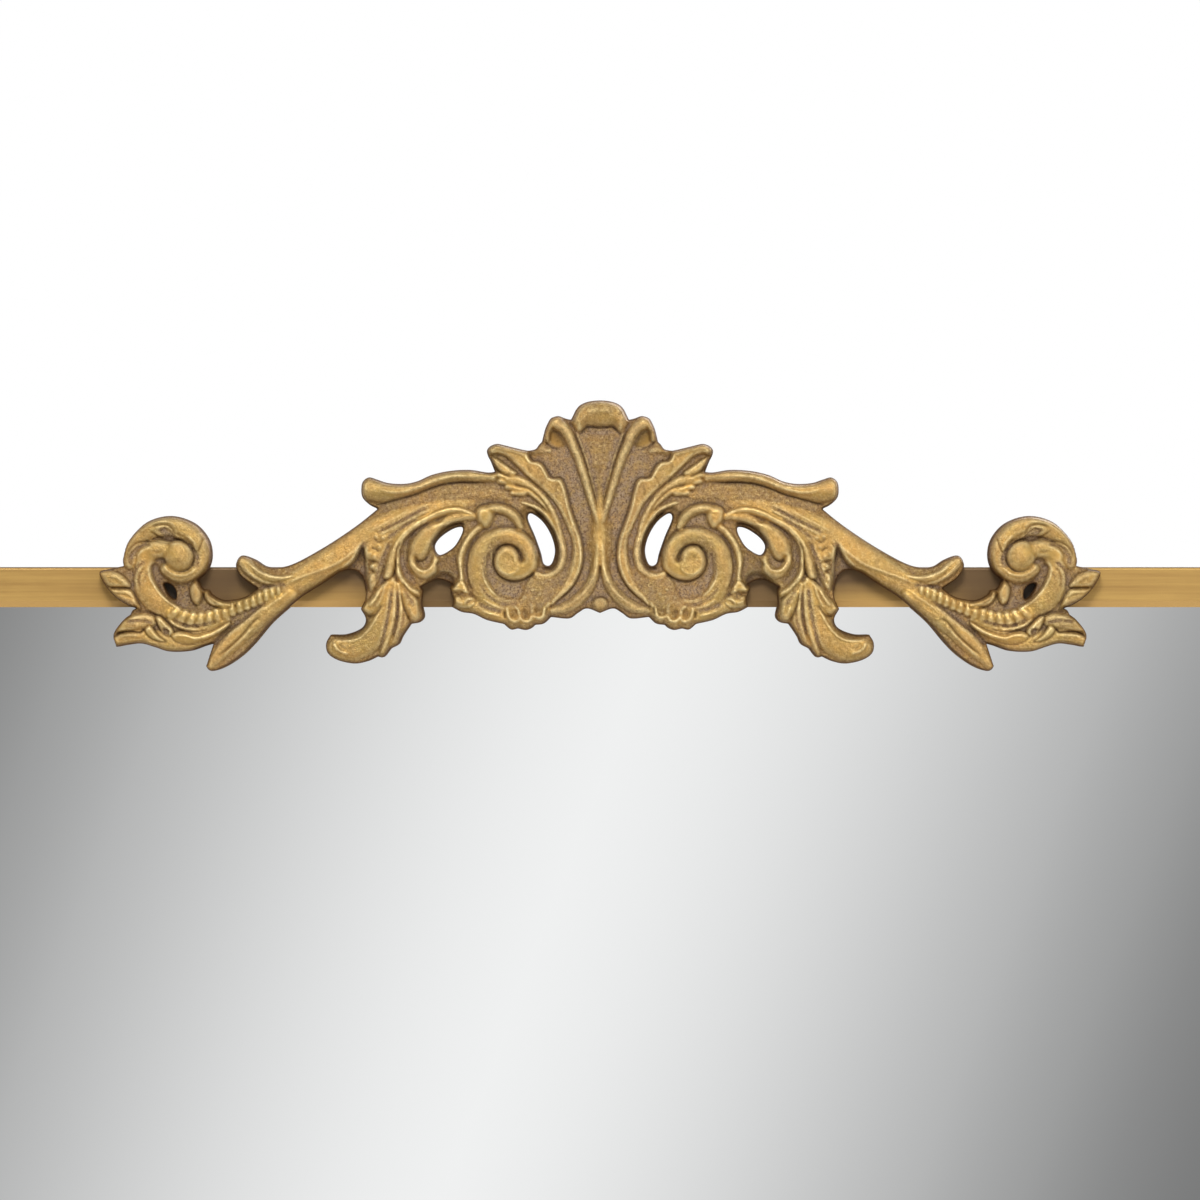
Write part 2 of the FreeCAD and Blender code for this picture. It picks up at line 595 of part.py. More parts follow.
def make_hanger(side, sign):
    """Strap folded round the ring's bar and screwed to the stile, and the D-ring that swings in it."""
    hinge = (f"{sign} * {HANGER_REACH}", HINGE_DEPTH, HINGE_HEIGHT)
    strap = doc.addObject("PartDesign::Body", f"{side}_strap")
    loop = new_sketch(strap, "loop", "YZ_Plane")
    draw_circle(loop, "0", "0", LOOP_RADIUS)
    pad(strap, loop, "Sizes.strap_width", symmetric=True)
    tail = new_sketch(strap, "tail", "YZ_Plane")
    draw_outline(tail, (
        (f"-{LOOP_RADIUS}", "-Sizes.strap_length"),
        (f"{STRAP_STACK} - {LOOP_RADIUS}", "-Sizes.strap_length"),
        (f"{STRAP_STACK} - {LOOP_RADIUS}", "0"),
        (f"-{LOOP_RADIUS}", "0"),
    ))
    flat = pad(strap, tail, "Sizes.strap_width", symmetric=True)
    end = -value("Sizes.strap_length")
    half = value("Sizes.strap_width") / 2
    for edge in (-half, half):
        flat = round_edges(strap, flat, "Sizes.strap_corner",
                           lambda point: near(point.z, end) and near(point.x, edge))
    bore = new_sketch(strap, "bore", "YZ_Plane")
    draw_circle(bore, "0", "0", "(Sizes.ring_wire / 2 + Sizes.hinge_play)")
    pocket(strap, bore)
    holes = new_sketch(strap, "holes", "XZ_Plane")
    hole = "(Sizes.hanger_screw_shank / 2 + Sizes.pilot_play)"
    for up in strap_screw_heights():
        draw_circle(holes, "0", f"{up} - {HINGE_HEIGHT}", hole)
    pocket(strap, holes)
    place(strap, hinge)
    node(strap, f"{side}_hanger_strap")

    ring = doc.addObject("PartDesign::Body", f"{side}_ring")
    wire_line = new_sketch(ring, "wire_line", "XZ_Plane")
    reach = "(Sizes.ring_span / 2)"
    corner = "Sizes.ring_corner"
    bend = f"({corner} * (1 - sqrt(0.5)))"
    shoulder = f"(Sizes.ring_rise - {reach})"
    crown = f"({reach} * sqrt(0.5))"
    draw_outline(wire_line, (
        (f"{corner} - {reach}", "0"),
        (f"{reach} - {corner}", "0", f"{reach} - {bend}", bend, corner),
        (reach, corner),
        (reach, shoulder, crown, f"{shoulder} + {crown}", reach),
        ("0", "Sizes.ring_rise", f"-{crown}", f"{shoulder} + {crown}", reach),
        (f"-{reach}", shoulder),
        (f"-{reach}", corner, f"{bend} - {reach}", bend, corner),
    ))
    section = new_sketch(ring, "section", "YZ_Plane")
    draw_circle(section, "0", "0", "Sizes.ring_wire / 2")
    pipe = ring.newObject("PartDesign::AdditivePipe", f"{ring.Name}_pipe")
    pipe.Profile = section
    pipe.Spine = wire_line
    doc.recompute()
    drop = "(Sizes.hinge_play + Sizes.strap_thickness - Sizes.ring_gap)"
    lean = math.degrees(math.asin(value(f"{drop} / Sizes.ring_rise")))
    place(ring, hinge, Rotation(Vector(1, 0, 0), lean))
    node(ring, f"{side}_hanger_ring")


def make_turn_buttons():
    """Flat steel buttons that swivel on a screw and hold the backing board in."""
    for label, across, up, turn in button_places():
        body = doc.addObject("PartDesign::Body", label)
        outline = new_sketch(body, "outline", "XZ_Plane")
        edge = "(Sizes.button_width / 2)"
        reach = "(Sizes.button_length - Sizes.button_width)"
        bend = f"({edge} * sqrt(0.5))"
        draw_outline(outline, (
            ("0", f"-{edge}"),
            (reach, f"-{edge}", f"{reach} + {bend}", f"-{bend}", edge),
            (f"{reach} + {edge}", "0", f"{reach} + {bend}", bend, edge),
            (reach, edge),
            ("0", edge, f"-{bend}", bend, edge),
            (f"-{edge}", "0", f"-{bend}", f"-{bend}", edge),
        ))
        pad(body, outline, "Sizes.button_thickness", reverse=True)
        hole = new_sketch(body, "hole", "XZ_Plane")
        draw_circle(hole, "0", "0", "(Sizes.button_screw_shank / 2 + Sizes.hinge_play)")
        pocket(body, hole)
        place(body, (across, f"{FRAME_BACK} + Sizes.button_gap", up), Rotation(Vector(0, 1, 0), turn))
        node(body, label)


def make_bumpers():
    """Rubber bumpers that keep the bottom rail off the wall."""
    cones = []
    for number, sign in enumerate((-1, 1), 1):
        cone = doc.addObject("Part::Cone", f"wall_bumper_{number}")
        cone.setExpression("Radius1", "Sizes.bumper_diameter / 2")
        cone.setExpression("Radius2", "Sizes.bumper_tip_diameter / 2")
        cone.setExpression("Height", "Sizes.bumper_thickness")
        base = (f"{sign} * (Sizes.frame_width / 2 - Sizes.bumper_inset)", FRAME_BACK,
                f"{FRAME_BOTTOM} + {BACK_WIDTH} / 2")
        place(cone, base, Rotation(Vector(1, 0, 0), -90))
        cones.append(cone)
    group("wall_bumpers", cones)


def crest_scale():
    """Millimetres to one pixel of the crest's drawing."""
    return value("Sizes.crest_width") / CREST_WIDTH_PX


def crest_point(across, down, depth=0):
    """Point of the crest at a pixel of its drawing, at a depth in front of the crest's flat back."""
    return Vector((across - CREST_MIDDLE_PX) * crest_scale(), -depth, (RAIL_TOP_PX - down) * crest_scale())


def crest_curve(pixels, closed=False):
    """Smooth curve through pixels of the crest's drawing."""
    curve = Part.BSplineCurve()
    curve.interpolate([crest_point(*pixel) for pixel in pixels], PeriodicFlag=closed)
    return curve.toShape()


def crest_slab():
    """Pierced flat slab under the left half's forms."""
    edges = [crest_curve(row) for row in CREST_OUTLINE_PX]
    foot = crest_point(*CREST_OUTLINE_PX[-1][-1])
    top = crest_point(*CREST_OUTLINE_PX[0][0])
    edges.append(Part.LineSegment(foot, top).toShape())
    rims = [Part.Wire([crest_curve(row, closed=True)]) for row in CREST_HOLES_PX]
    face = Part.Face([Part.Wire(edges)] + rims)
    face.validate()
    return face.extrude(Vector(0, -value("Sizes.crest_slab"), 0))


def form_section(across, down, run, half_width, height):
    """Cross-section of a raised form: a root in the slab, two side walls and a round top."""
    normal = Vector(-run.y, run.x, 0).normalize() * half_width
    root = value("Sizes.crest_root")
    spring = max(height - CROWN_SHARE * half_width * crest_scale(), (root + height) / 2)
    left = (across - normal.x, down - normal.y)
    right = (across + normal.x, down + normal.y)
    corners = [crest_point(*left, root), crest_point(*left, spring),
               crest_point(*right, spring), crest_point(*right, root)]
    return Part.Wire([
        Part.LineSegment(corners[0], corners[1]).toShape(),
        Part.Arc(corners[1], crest_point(across, down, height), corners[2]).toShape(),
        Part.LineSegment(corners[2], corners[3]).toShape(),
        Part.LineSegment(corners[3], corners[0]).toShape(),
    ])


def raised_form(ridge, height_shares):
    """Loft along a form's ridge."""
    sections = []
    last = len(ridge) - 1
    for step, (across, down, half_width) in enumerate(ridge):
        before = ridge[max(step - 1, 0)]
        after = ridge[min(step + 1, last)]
        run = Vector(after[0] - before[0], after[1] - before[1], 0)
        height = height_shares[step] * value("Sizes.crest_relief")
        sections.append(form_section(across, down, run, half_width, height))
    return Part.makeLoft(sections, True)


def make_crest():
    """One casting: slab and raised forms of the left half, the same mirrored, and the middle forms."""
    forms = [raised_form(ridge, CREST_HEIGHT_SHARES[name]) for name, ridge in CREST_FORMS_PX.items()]
    left = crest_slab().multiFuse(forms)
    right = left.mirror(Vector(0, 0, 0), Vector(1, 0, 0))
    middle = [raised_form(ridge, MIDDLE_HEIGHT_SHARES[name]) for name, ridge in MIDDLE_FORMS_PX.items()]
    casting = left.multiFuse([right] + middle).removeSplitter()
    pilot = value("Sizes.crest_screw_shank / 2 + Sizes.pilot_play")
    depth = value("Sizes.crest_screw_bite + Sizes.pilot_play")
    holes = [
        Part.makeCylinder(pilot, depth, Vector(value(across), 0, -value(BACK_WIDTH) / 2), Vector(0, -1, 0))
        for across in crest_screw_places()
    ]
    crest = doc.addObject("Part::Feature", "crest")
    crest.Shape = casting.cut(holes).Solids[0]
    place(crest, ("0", FRAME_FRONT, FRAME_TOP))
    node(crest, "crest_casting")


make_frame()
make_glazing()
make_v_nails()
make_crest()
make_hanger("left", -1)
make_hanger("right", 1)
make_turn_buttons()
make_screws()
make_bumpers()
doc.recompute()

failed = [item.Label for item in doc.Objects if "Invalid" in item.State or "Error" in item.State]
failed += [item.Label for item in nodes if item.Shape.isNull() or not item.Shape.isValid()]
if failed:
    raise RuntimeError("failed pieces: " + ", ".join(failed))
os.makedirs("parts", exist_ok=True)
for item in nodes:
    item.Shape.exportStep(f"parts/{item.Label}.step")
    bounds = item.Shape.BoundBox
    print(f"{item.Label}: {len(item.Shape.Solids)} solids, {item.Shape.Volume:.0f} mm3, "
          f"{bounds.XLength:.1f} x {bounds.YLength:.1f} x {bounds.ZLength:.1f}")
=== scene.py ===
# %% [markdown]
# # A wall mirror with a cast scroll crest
#
# The mirror is a slim gilt frame round a silvered glass, with a cast crest of scrolls, leaves and a
# palmette over its top rail. The solid model already holds every piece at its true size, so this lesson
# dresses it: it gives the flat work its finishes, carves the crest as a fine relief, and sets the light,
# the stage and the camera for a straight front view of the top of the mirror.

# %% Load the solid model
import math

import bpy
import bmesh
import numpy as np
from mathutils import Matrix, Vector


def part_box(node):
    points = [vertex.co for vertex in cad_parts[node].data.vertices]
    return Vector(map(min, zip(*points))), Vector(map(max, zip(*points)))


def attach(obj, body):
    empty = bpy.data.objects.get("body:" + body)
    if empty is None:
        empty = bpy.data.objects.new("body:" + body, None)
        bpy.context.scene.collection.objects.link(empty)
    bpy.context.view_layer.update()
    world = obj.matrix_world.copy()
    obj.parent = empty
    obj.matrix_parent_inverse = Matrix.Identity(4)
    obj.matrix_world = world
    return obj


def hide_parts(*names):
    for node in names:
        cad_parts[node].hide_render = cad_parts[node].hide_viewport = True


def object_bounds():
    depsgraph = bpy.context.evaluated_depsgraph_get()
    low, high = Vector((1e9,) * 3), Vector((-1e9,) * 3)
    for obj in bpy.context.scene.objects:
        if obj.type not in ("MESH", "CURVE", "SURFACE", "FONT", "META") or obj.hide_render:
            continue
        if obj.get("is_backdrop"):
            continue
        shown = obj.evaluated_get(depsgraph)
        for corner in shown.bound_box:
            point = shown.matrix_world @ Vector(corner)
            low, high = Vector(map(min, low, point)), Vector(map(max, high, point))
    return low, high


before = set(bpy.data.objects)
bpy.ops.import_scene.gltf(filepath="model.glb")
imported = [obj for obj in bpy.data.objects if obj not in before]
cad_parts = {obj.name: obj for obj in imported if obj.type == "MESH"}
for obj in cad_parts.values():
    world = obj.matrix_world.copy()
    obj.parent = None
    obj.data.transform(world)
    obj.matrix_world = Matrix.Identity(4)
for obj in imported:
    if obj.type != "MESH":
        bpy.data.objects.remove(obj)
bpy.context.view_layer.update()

# %% [markdown]
# ## A drawing scale shared by the camera and the crest
#
# The crest was drawn on a front view that is 1200 pixels wide. One scale turns those pixels into metres,
# and it comes from the solid crest and the top rail, so the drawing stays glued to the frame. The crest is
# 1000 pixels wide, and the rail's top edge lies just below pixel row 567.

# %% Pixels to metres
VIEW_PX = 1200
MIDDLE_PX = 600
CREST_WIDTH_PX = 1000
RAIL_TOP_PX = 567.1

crest_low, crest_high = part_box("crest_casting")
rail_low, rail_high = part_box("top_rail")
PIXEL = (crest_high.x - crest_low.x) / CREST_WIDTH_PX
CREST_BACK = rail_low.y


def spot(across, down, lift=0.0):
    """Place of a drawing pixel, at a height in metres in front of the rail's face."""
    return Vector(((across - MIDDLE_PX) * PIXEL, CREST_BACK - lift,
                   rail_high.z + (RAIL_TOP_PX - down) * PIXEL))


print(f"one pixel is {PIXEL * 1000:.3f} mm")

# %% [markdown]
# ## The camera
#
# A long lens far away keeps the frame square, as in a catalogue picture. The lens follows from the width of
# the view at the rail's face, so that width is what the picture shows, and the camera looks straight at the
# middle of the drawing with no shift.

# %% Camera
CAMERA_DISTANCE = 3.4
SENSOR = 36.0

camera = bpy.data.objects.new("front_camera", bpy.data.cameras.new("front_camera"))
camera.data.sensor_width = SENSOR
camera.data.lens = SENSOR * CAMERA_DISTANCE / (VIEW_PX * PIXEL)
camera.location = spot(MIDDLE_PX, VIEW_PX / 2, CAMERA_DISTANCE)
camera.rotation_euler = (math.radians(90), 0, 0)
bpy.context.scene.collection.objects.link(camera)
bpy.context.scene.camera = camera
bpy.context.scene.view_settings.view_transform = "Standard"
print(f"lens {camera.data.lens:.0f} mm at {CAMERA_DISTANCE} m")

# %% [markdown]
# ## Carving on a grid
#
# A cast crest is a relief: seen from the front, each point has one height. It could be built from dozens of
# separate curves, but they would meet in hard seams. Here the left half is a grid of heights instead, and
# carving tools raise bands, press hollows and cut furrows into it, as a modeller works in clay. Two more
# grids follow along: one says where the taupe glaze stays in the hollows, and one where dirt and painted
# shade sit in the creases. The right half is the same grid, mirrored.

# %% Relief: the grid
GRID_STEP = 1.15
GRID_LEFT, GRID_TOP, GRID_BOTTOM = 98.0, 398.0, 673.0
GROUND_GLAZE, PALMETTE_GLAZE = 0.55, 0.85
PALMETTE_FROM, PALMETTE_TO = 525, 560

grid_across = MIDDLE_PX - GRID_STEP * np.arange(int((MIDDLE_PX - GRID_LEFT) / GRID_STEP), -1, -1)
grid_down = GRID_TOP + GRID_STEP * np.arange(int((GRID_BOTTOM - GRID_TOP) / GRID_STEP) + 1)
ACROSS, DOWN = np.meshgrid(grid_across, grid_down)
relief = np.zeros(ACROSS.shape)
glaze = np.interp(ACROSS, (PALMETTE_FROM, PALMETTE_TO), (GROUND_GLAZE, PALMETTE_GLAZE))
# Dark marks of dirt, and of painted shade where shade would fall.
dirt_and_shade_marks = np.zeros(ACROSS.shape)
print("relief grid:", ACROSS.shape)

# %% [markdown]
# Every form follows a smooth line through a few points of the drawing. A Catmull-Rom curve passes through
# its points, so they can be read straight off the drawing. For each grid point near the line, `nearest`
# gives the distance to it and how far along it lies, and `evenly` spreads a few widths or heights along it.

# %% Relief: smooth lines
def smooth_line(points, closed=False, steps=6):
    """Catmull-Rom curve through points of the drawing."""
    knots = np.array(points, float)
    if closed:
        knots = np.vstack([knots[-1], knots, knots[:2]])
    else:
        knots = np.vstack([2 * knots[0] - knots[1], knots, 2 * knots[-1] - knots[-2]])
    share = np.linspace(0, 1, steps, endpoint=False)[:, None]
    pieces = []
    for before, start, end, after in zip(knots, knots[1:], knots[2:], knots[3:]):
        bend = 2 * before - 5 * start + 4 * end - after
        twist = 3 * start - before - 3 * end + after
        pieces.append(start + ((end - before) * share + bend * share ** 2 + twist * share ** 3) / 2)
    if not closed:
        pieces.append(knots[-2:-1])
    return np.vstack(pieces)


def patch(line, margin):
    """Part of the grid that lies round a line."""
    first_column, last_column = np.searchsorted(grid_across, [line[:, 0].min() - margin,
                                                              line[:, 0].max() + margin])
    first_row, last_row = np.searchsorted(grid_down, [line[:, 1].min() - margin, line[:, 1].max() + margin])
    return np.s_[first_row:last_row + 1, first_column:last_column + 1]


def nearest(line, here):
    """Distance of each grid point from a line, and the share of the line's length where it lies."""
    across, down = ACROSS[here], DOWN[here]
    gap = np.full(across.shape, np.inf)
    along = np.zeros(across.shape)
    run = np.r_[0, np.cumsum(np.hypot(*np.diff(line, axis=0).T))]
    for start, end, begun, done in zip(line, line[1:], run, run[1:]):
        step = end - start
        share = np.clip(((across - start[0]) * step[0] + (down - start[1]) * step[1]) / (step @ step), 0, 1)
        reach = np.hypot(across - start[0] - share * step[0], down - start[1] - share * step[1])
        closer = reach < gap
        gap = np.where(closer, reach, gap)
        along = np.where(closer, begun + share * (done - begun), along)
    return gap, along / run[-1]


def evenly(values, along):
    """Values spread evenly along a line."""
    values = np.atleast_1d(values)
    return np.interp(along, np.linspace(0, 1, len(values)), values)


def ease(low, high, amount):
    """Smooth step from 0 to 1."""
    share = np.clip((amount - low) / (high - low), 0, 1)
    return share * share * (3 - 2 * share)


print("three points make a line of", len(smooth_line(((0, 0), (8, 8), (16, 0)))), "points")

# %% [markdown]
# The tools. `band` lays a raised moulding along a line and `lobe` fills an outline with a raised face; both
# are gold, and they cover what is under them. `petal` is a lobe with a dark crease round it. `hollow` presses
# an outline down, `furrow` cuts a line and `welt` raises one. Heights are millimetres over the ground of the
# relief, and widths are half widths in pixels of the drawing. Sculpt brushes could do the same by hand, but
# strokes that are written down can be changed and run again.

# %% Relief: carving tools
FOOT = -0.4
FLATNESS = 2.8
JOIN_SOFTNESS = 0.08
COVERS_FROM, COVERS_TO = -0.4, 0.3
CREASE_WIDE, CREASE_DEEP = 1.1, 0.5


def dome(share):
    """Round profile, from one on the middle line to zero at the edge."""
    return np.sqrt(np.clip(1 - share ** 2, 0, 1))


def plateau(share):
    """Flatter profile with rounded shoulders."""
    return np.sqrt(np.clip(1 - share ** FLATNESS, 0, 1))


def bell(share):
    """Profile that runs out softly at the edge."""
    return np.clip(1 - share ** 2, 0, 1) ** 2


def lay(here, inside, form, gold):
    """Join a gold form to the relief, softly where it meets what is there."""
    old = relief[here]
    joined = (old + form + np.sqrt((old - form) ** 2 + JOIN_SOFTNESS)) / 2
    relief[here] = np.where(inside, joined, old)
    cover = ease(COVERS_FROM, COVERS_TO, form - old) * inside
    glaze[here] = glaze[here] * (1 - cover) + (1 - gold) * cover
    dirt_and_shade_marks[here] *= 1 - cover


def band(points, wide, top, foot=FOOT, profile=plateau, gold=1.0):
    """Raised moulding along a line."""
    line = smooth_line(points)
    here = patch(line, np.max(wide) + 2)
    gap, along = nearest(line, here)
    share = gap / evenly(wide, along)
    lay(here, share < 1, foot + (evenly(top, along) - foot) * profile(np.minimum(share, 1)), gold)


def inside_depth(line, here):
    """Distance of each grid point inside a closed line, and minus the distance outside it."""
    ring = np.vstack([line, line[:1]])
    gap = nearest(ring, here)[0]
    inside = np.zeros(gap.shape, bool)
    for (start_across, start_down), (end_across, end_down) in zip(ring, ring[1:]):
        if start_down != end_down:
            crosses = (start_down > DOWN[here]) != (end_down > DOWN[here])
            share = (DOWN[here] - start_down) / (end_down - start_down)
            inside ^= crosses & (ACROSS[here] < start_across + share * (end_across - start_across))
    return np.where(inside, gap, -gap)


def lobe(points, top, rounding=5.0, foot=FOOT, gold=1.0, swell=0.5):
    """Raised face inside an outline, rounded off towards its edge; a higher swell makes a softer rise."""
    line = smooth_line(points, closed=True)
    here = patch(line, 2)
    depth = inside_depth(line, here)
    rise = dome(1 - np.clip(depth / rounding, 0, 1)) ** (2 * swell)
    lay(here, depth > 0, foot + (top - foot) * rise, gold)


def hollow(points, level, soft=2.5, tone=1.0, dark=0.0):
    """Sunk ground inside an outline."""
    line = smooth_line(points, closed=True)
    here = patch(line, 2)
    mark = ease(0, soft, inside_depth(line, here))
    relief[here] += (np.minimum(relief[here], level) - relief[here]) * mark
    glaze[here] = np.maximum(glaze[here] * (1 - mark), tone * mark)
    dirt_and_shade_marks[here] = np.maximum(dirt_and_shade_marks[here], dark * mark)


def stroke(points, wide, ends):
    """Soft stroke along a line that fades over a share of its length at each end."""
    line = smooth_line(points)
    here = patch(line, np.max(wide) + 2)
    gap, along = nearest(line, here)
    mark = bell(np.minimum(gap / evenly(wide, along), 1))
    for share, way in zip(ends, (along, 1 - along)):
        if share:
            mark = mark * ease(0, share, way)
    return here, mark, along


def furrow(points, wide, deep, tone=0.0, dark=0.0, ends=(0.15, 0.15)):
    """Cut along a line, with glaze, or dirt and painted shade, left in it."""
    here, mark, along = stroke(points, wide, ends)
    relief[here] -= evenly(deep, along) * mark
    glaze[here] = np.maximum(glaze[here], tone * np.minimum(1.5 * mark, 1))
    dirt_and_shade_marks[here] = np.maximum(dirt_and_shade_marks[here], dark * mark)


def welt(points, wide, lift, ends=(0.2, 0.2)):
    """Fine raised line."""
    here, mark, along = stroke(points, wide, ends)
    relief[here] += evenly(lift, along) * mark


def petal(points, top, rounding=4.0, foot=FOOT, dark=0.7):
    """Lobe with a dark crease round it."""
    lobe(points, top, rounding, foot)
    furrow(list(points) + [points[0]], CREASE_WIDE, CREASE_DEEP, dark=dark, ends=(0, 0))


def carved(form):
    """Say what was carved, and how low and high the relief reaches now."""
    print(f"{form}: relief from {relief.min():.1f} to {relief.max():.1f} mm")


carved("bare ground")

# %% [markdown]
# ## Lip and stem
#
# A rolled lip runs along the upper edge of the crest and ends in a bulb. Under it lies a sandy ground, and
# then the stem, a broad moulding that sweeps down to the left with furrows where the leaves leave it.

# %% Relief: lip and stem
band([(392, 506), (420, 499), (450, 493), (480, 492), (508, 496)], (6, 8, 9, 8, 5), 0.9, gold=0.5)
band([(472, 503), (452, 506), (432, 511.5), (410, 520), (388, 530), (366, 543), (340, 558.5), (315, 572.5),
      (295, 583.5), (278, 590.5)],
     (4, 8, 12, 15.5, 18, 17.5, 16, 14.5, 12.5, 8), (0.4, 1.7, 2.7, 3.2, 3.4, 3.4, 3.2, 3, 2.8, 2.4))
band([(369, 490), (381, 492), (400, 491), (420, 486), (440, 478.5), (460, 476), (480, 476.5), (493, 477.5)],
     (11.5, 11, 7.5, 6.5, 6.5, 6.2, 6, 5), (4.4, 4.6, 4.4, 4.2, 4, 3.8, 3.4), profile=dome)
welt([(376, 487), (386, 491.5), (398, 493), (408, 491.5), (420, 488), (432, 482.5), (445, 478.5),
      (460, 476.5), (480, 478)], 2.4, 0.7)
furrow([(366, 501.5), (374, 505), (383, 504), (393, 501), (403, 498.5), (413, 496), (423, 492), (433, 488),
        (444, 484.8), (458, 483), (476, 483), (492, 483)], 1.6, 0.7, dark=0.8)
welt([(280, 587), (300, 578), (318, 571.5), (334, 565.5), (347, 557.5), (358, 548), (366, 540.5)], 3.2, 0.8)
furrow([(375, 534), (390, 527), (405, 519.5), (420, 511.5), (433, 505.5)], 2.0, 1.1, tone=0.95, dark=0.15)
welt([(367, 533), (385, 524), (400, 516), (412, 509.5)], 1.8, 0.5)
welt([(374, 538), (390, 530.5), (405, 522.8), (420, 515), (436, 509)], 1.8, 0.5)
furrow([(386, 542), (393, 535), (405, 526.5), (420, 518)], 1.9, 0.9, tone=0.9, dark=0.15)
carved("lip and stem")

# %% [markdown]
# ## Bud, beaded spine and spear
#
# At its lower end the stem splits into a pointed bud, a spine that carries a row of beads, and a long
# spear-shaped leaf. The beads repeat, so a loop sets them at one pitch along the spine's line.

# %% Relief: bud, spine and spear
lobe([(237.5, 560), (241, 556.5), (246, 556.5), (252, 560), (257, 565), (263, 570), (270, 573), (282, 575),
      (296, 574), (292, 580), (280, 584), (268, 585), (257, 581.5), (247, 575), (240, 567)], 3.1, 4.5)
welt([(250, 561.5), (254, 566.5), (259.5, 571), (266, 574), (274, 577), (284, 577.5), (300, 575)], 1.7, 0.7)
furrow([(252.5, 569), (258, 575), (265, 579.5), (274, 582), (286, 582.5)], 1.4, 0.6, dark=0.5)
welt([(244, 560), (246.5, 567), (252, 574), (259, 580)], 1.6, 0.4)

SPINE = ((172, 610), (179.5, 615), (189.5, 618.4), (199.5, 619.4), (209.6, 618.2), (219.6, 615),
         (235, 608.2), (255, 600.4), (268.7, 594.8), (286, 587.5))
FIRST_PITCH, LAST_PITCH, BEAD_REACH, BEAD_LEAN = 9.5, 6.2, 3.2, 0.3
band(SPINE, (6, 6.5, 6.8, 6.8, 6.5, 6.2, 6, 5.8, 5.4, 4.5), (2, 2.2, 2.2, 2.2, 2.2, 2.2, 2))
spine_line = smooth_line(SPINE, steps=40)
spine_run = np.r_[0, np.cumsum(np.hypot(*np.diff(spine_line, axis=0).T))]
run = FIRST_PITCH / 2
bead_count = 0
while run < spine_run[-1] - LAST_PITCH / 2:
    pitch = FIRST_PITCH + (LAST_PITCH - FIRST_PITCH) * run / spine_run[-1]
    at = np.searchsorted(spine_run, run)
    forward = spine_line[at + 1] - spine_line[at - 1]
    forward /= np.hypot(*forward)
    slant = BEAD_REACH * np.array([-forward[1] - BEAD_LEAN * forward[0],
                                   forward[0] - BEAD_LEAN * forward[1]])
    band([spine_line[at] - slant, spine_line[at], spine_line[at] + slant], 0.56 * pitch, (3.2, 3.6, 3.2),
         foot=1.2, profile=dome)
    gap_at = spine_line[np.searchsorted(spine_run, run + pitch / 2)]
    furrow([gap_at - slant, gap_at, gap_at + slant], 1.2, 0.6, dark=0.4, ends=(0, 0))
    run += pitch
    bead_count += 1

band([(211, 666), (219, 656), (231, 644), (245, 630), (260, 617), (276, 605), (292, 594)],
     (4.5, 8, 10, 10.5, 10.5, 9.5, 8), (1.8, 2.4, 2.8, 3, 3, 3))
furrow([(219, 657), (225, 651.5), (233, 645), (242, 636.5), (249, 628), (254.5, 621.5), (259.5, 619),
        (264, 622.5)], 1.4, 0.9, dark=0.75)
welt([(222, 658), (231, 650), (241, 641), (250, 632), (258, 625.5)], 2.2, 0.5)
welt([(263, 612), (272, 604.5), (284, 596), (292, 589)], 2.2, 0.4)
furrow([(214, 646), (222, 637), (233, 628), (245, 619), (258, 608.5), (272, 600)], (3.2, 3.2, 3, 2.6, 1.8),
       2.0, tone=0.9, dark=0.45, ends=(0.05, 0.25))
furrow([(258, 588.3), (268, 586.8), (278, 585.6), (289, 584.5)], 1.6, 1.0, tone=0.9, dark=0.3)
print(bead_count, "beads on the spine")

# %% [markdown]
# ## End scroll
#
# The far end curls into a scroll: a neck rises on the left, a thick ring goes over the top and down the
# right, and a round boss sits in the middle. A pocket, pierced by a small hole, opens below it.

# %% Relief: end scroll
band([(176, 613), (164, 606), (153, 597), (147, 586), (145, 573), (147, 560)], (9, 11, 12, 12, 11, 10),
     (2.2, 2.8, 3.2, 3.6, 3.8, 4))
band([(131, 563), (131, 552), (137, 541), (147, 532), (159, 527), (172, 526), (184, 530), (194, 537),
      (201, 547), (203, 558), (199, 568), (190, 574), (178, 575), (168, 569)],
     (6.5, 7.5, 9, 10, 10.5, 10.5, 10.5, 10, 9.5, 9, 8, 7.5, 7.5, 6.5),
     (2.4, 3, 3.6, 4, 4.4, 4.6, 4.6, 4.6, 4.6, 4.4, 4.2, 4, 4, 3.8))
band([(145, 568), (148, 556), (157, 549.5), (170, 550)], (9, 10, 10, 9), (4, 4.4, 4.8, 5.2))
lobe([(166, 556), (168, 547), (175, 541.5), (184, 541.5), (191.5, 547), (195, 556), (193, 564.5),
      (187, 570), (179, 571), (171.5, 567.5), (167.5, 562)], 7.6, 14.0, foot=3.2, swell=0.55)
furrow([(149, 530), (156, 534), (163.5, 538.3), (171, 540.3), (179, 539.8), (187, 542.5), (193.5, 549),
        (196, 557.5), (193.5, 565.5), (187.5, 570.8), (179, 571.6), (171.5, 568)], 1.3, 0.7, dark=0.8,
       ends=(0.08, 0.2))
hollow([(129.5, 563), (130, 556), (134, 549.5), (140, 545.5), (151, 543), (152, 546), (144, 548),
        (139, 552), (136, 558), (134, 566)], 1.4, 2.0, tone=1.0, dark=0.05)
furrow([(128.5, 560), (130, 552.5), (134, 546.8), (140, 543), (147, 541.3), (154, 541.5)], 1.3, 0.7,
       dark=0.75)
welt([(134, 567), (137.5, 558.5), (141, 553), (147, 549)], 1.6, 0.6)
hollow([(159, 530.5), (165.5, 527.2), (171.5, 529), (175.5, 533.5), (177, 537.3), (169.5, 538),
        (163.5, 535)], 2.4, 1.8, tone=1.0, dark=0.1)
welt([(164, 533), (169, 531.8), (173, 534.5)], 1.6, 0.9)
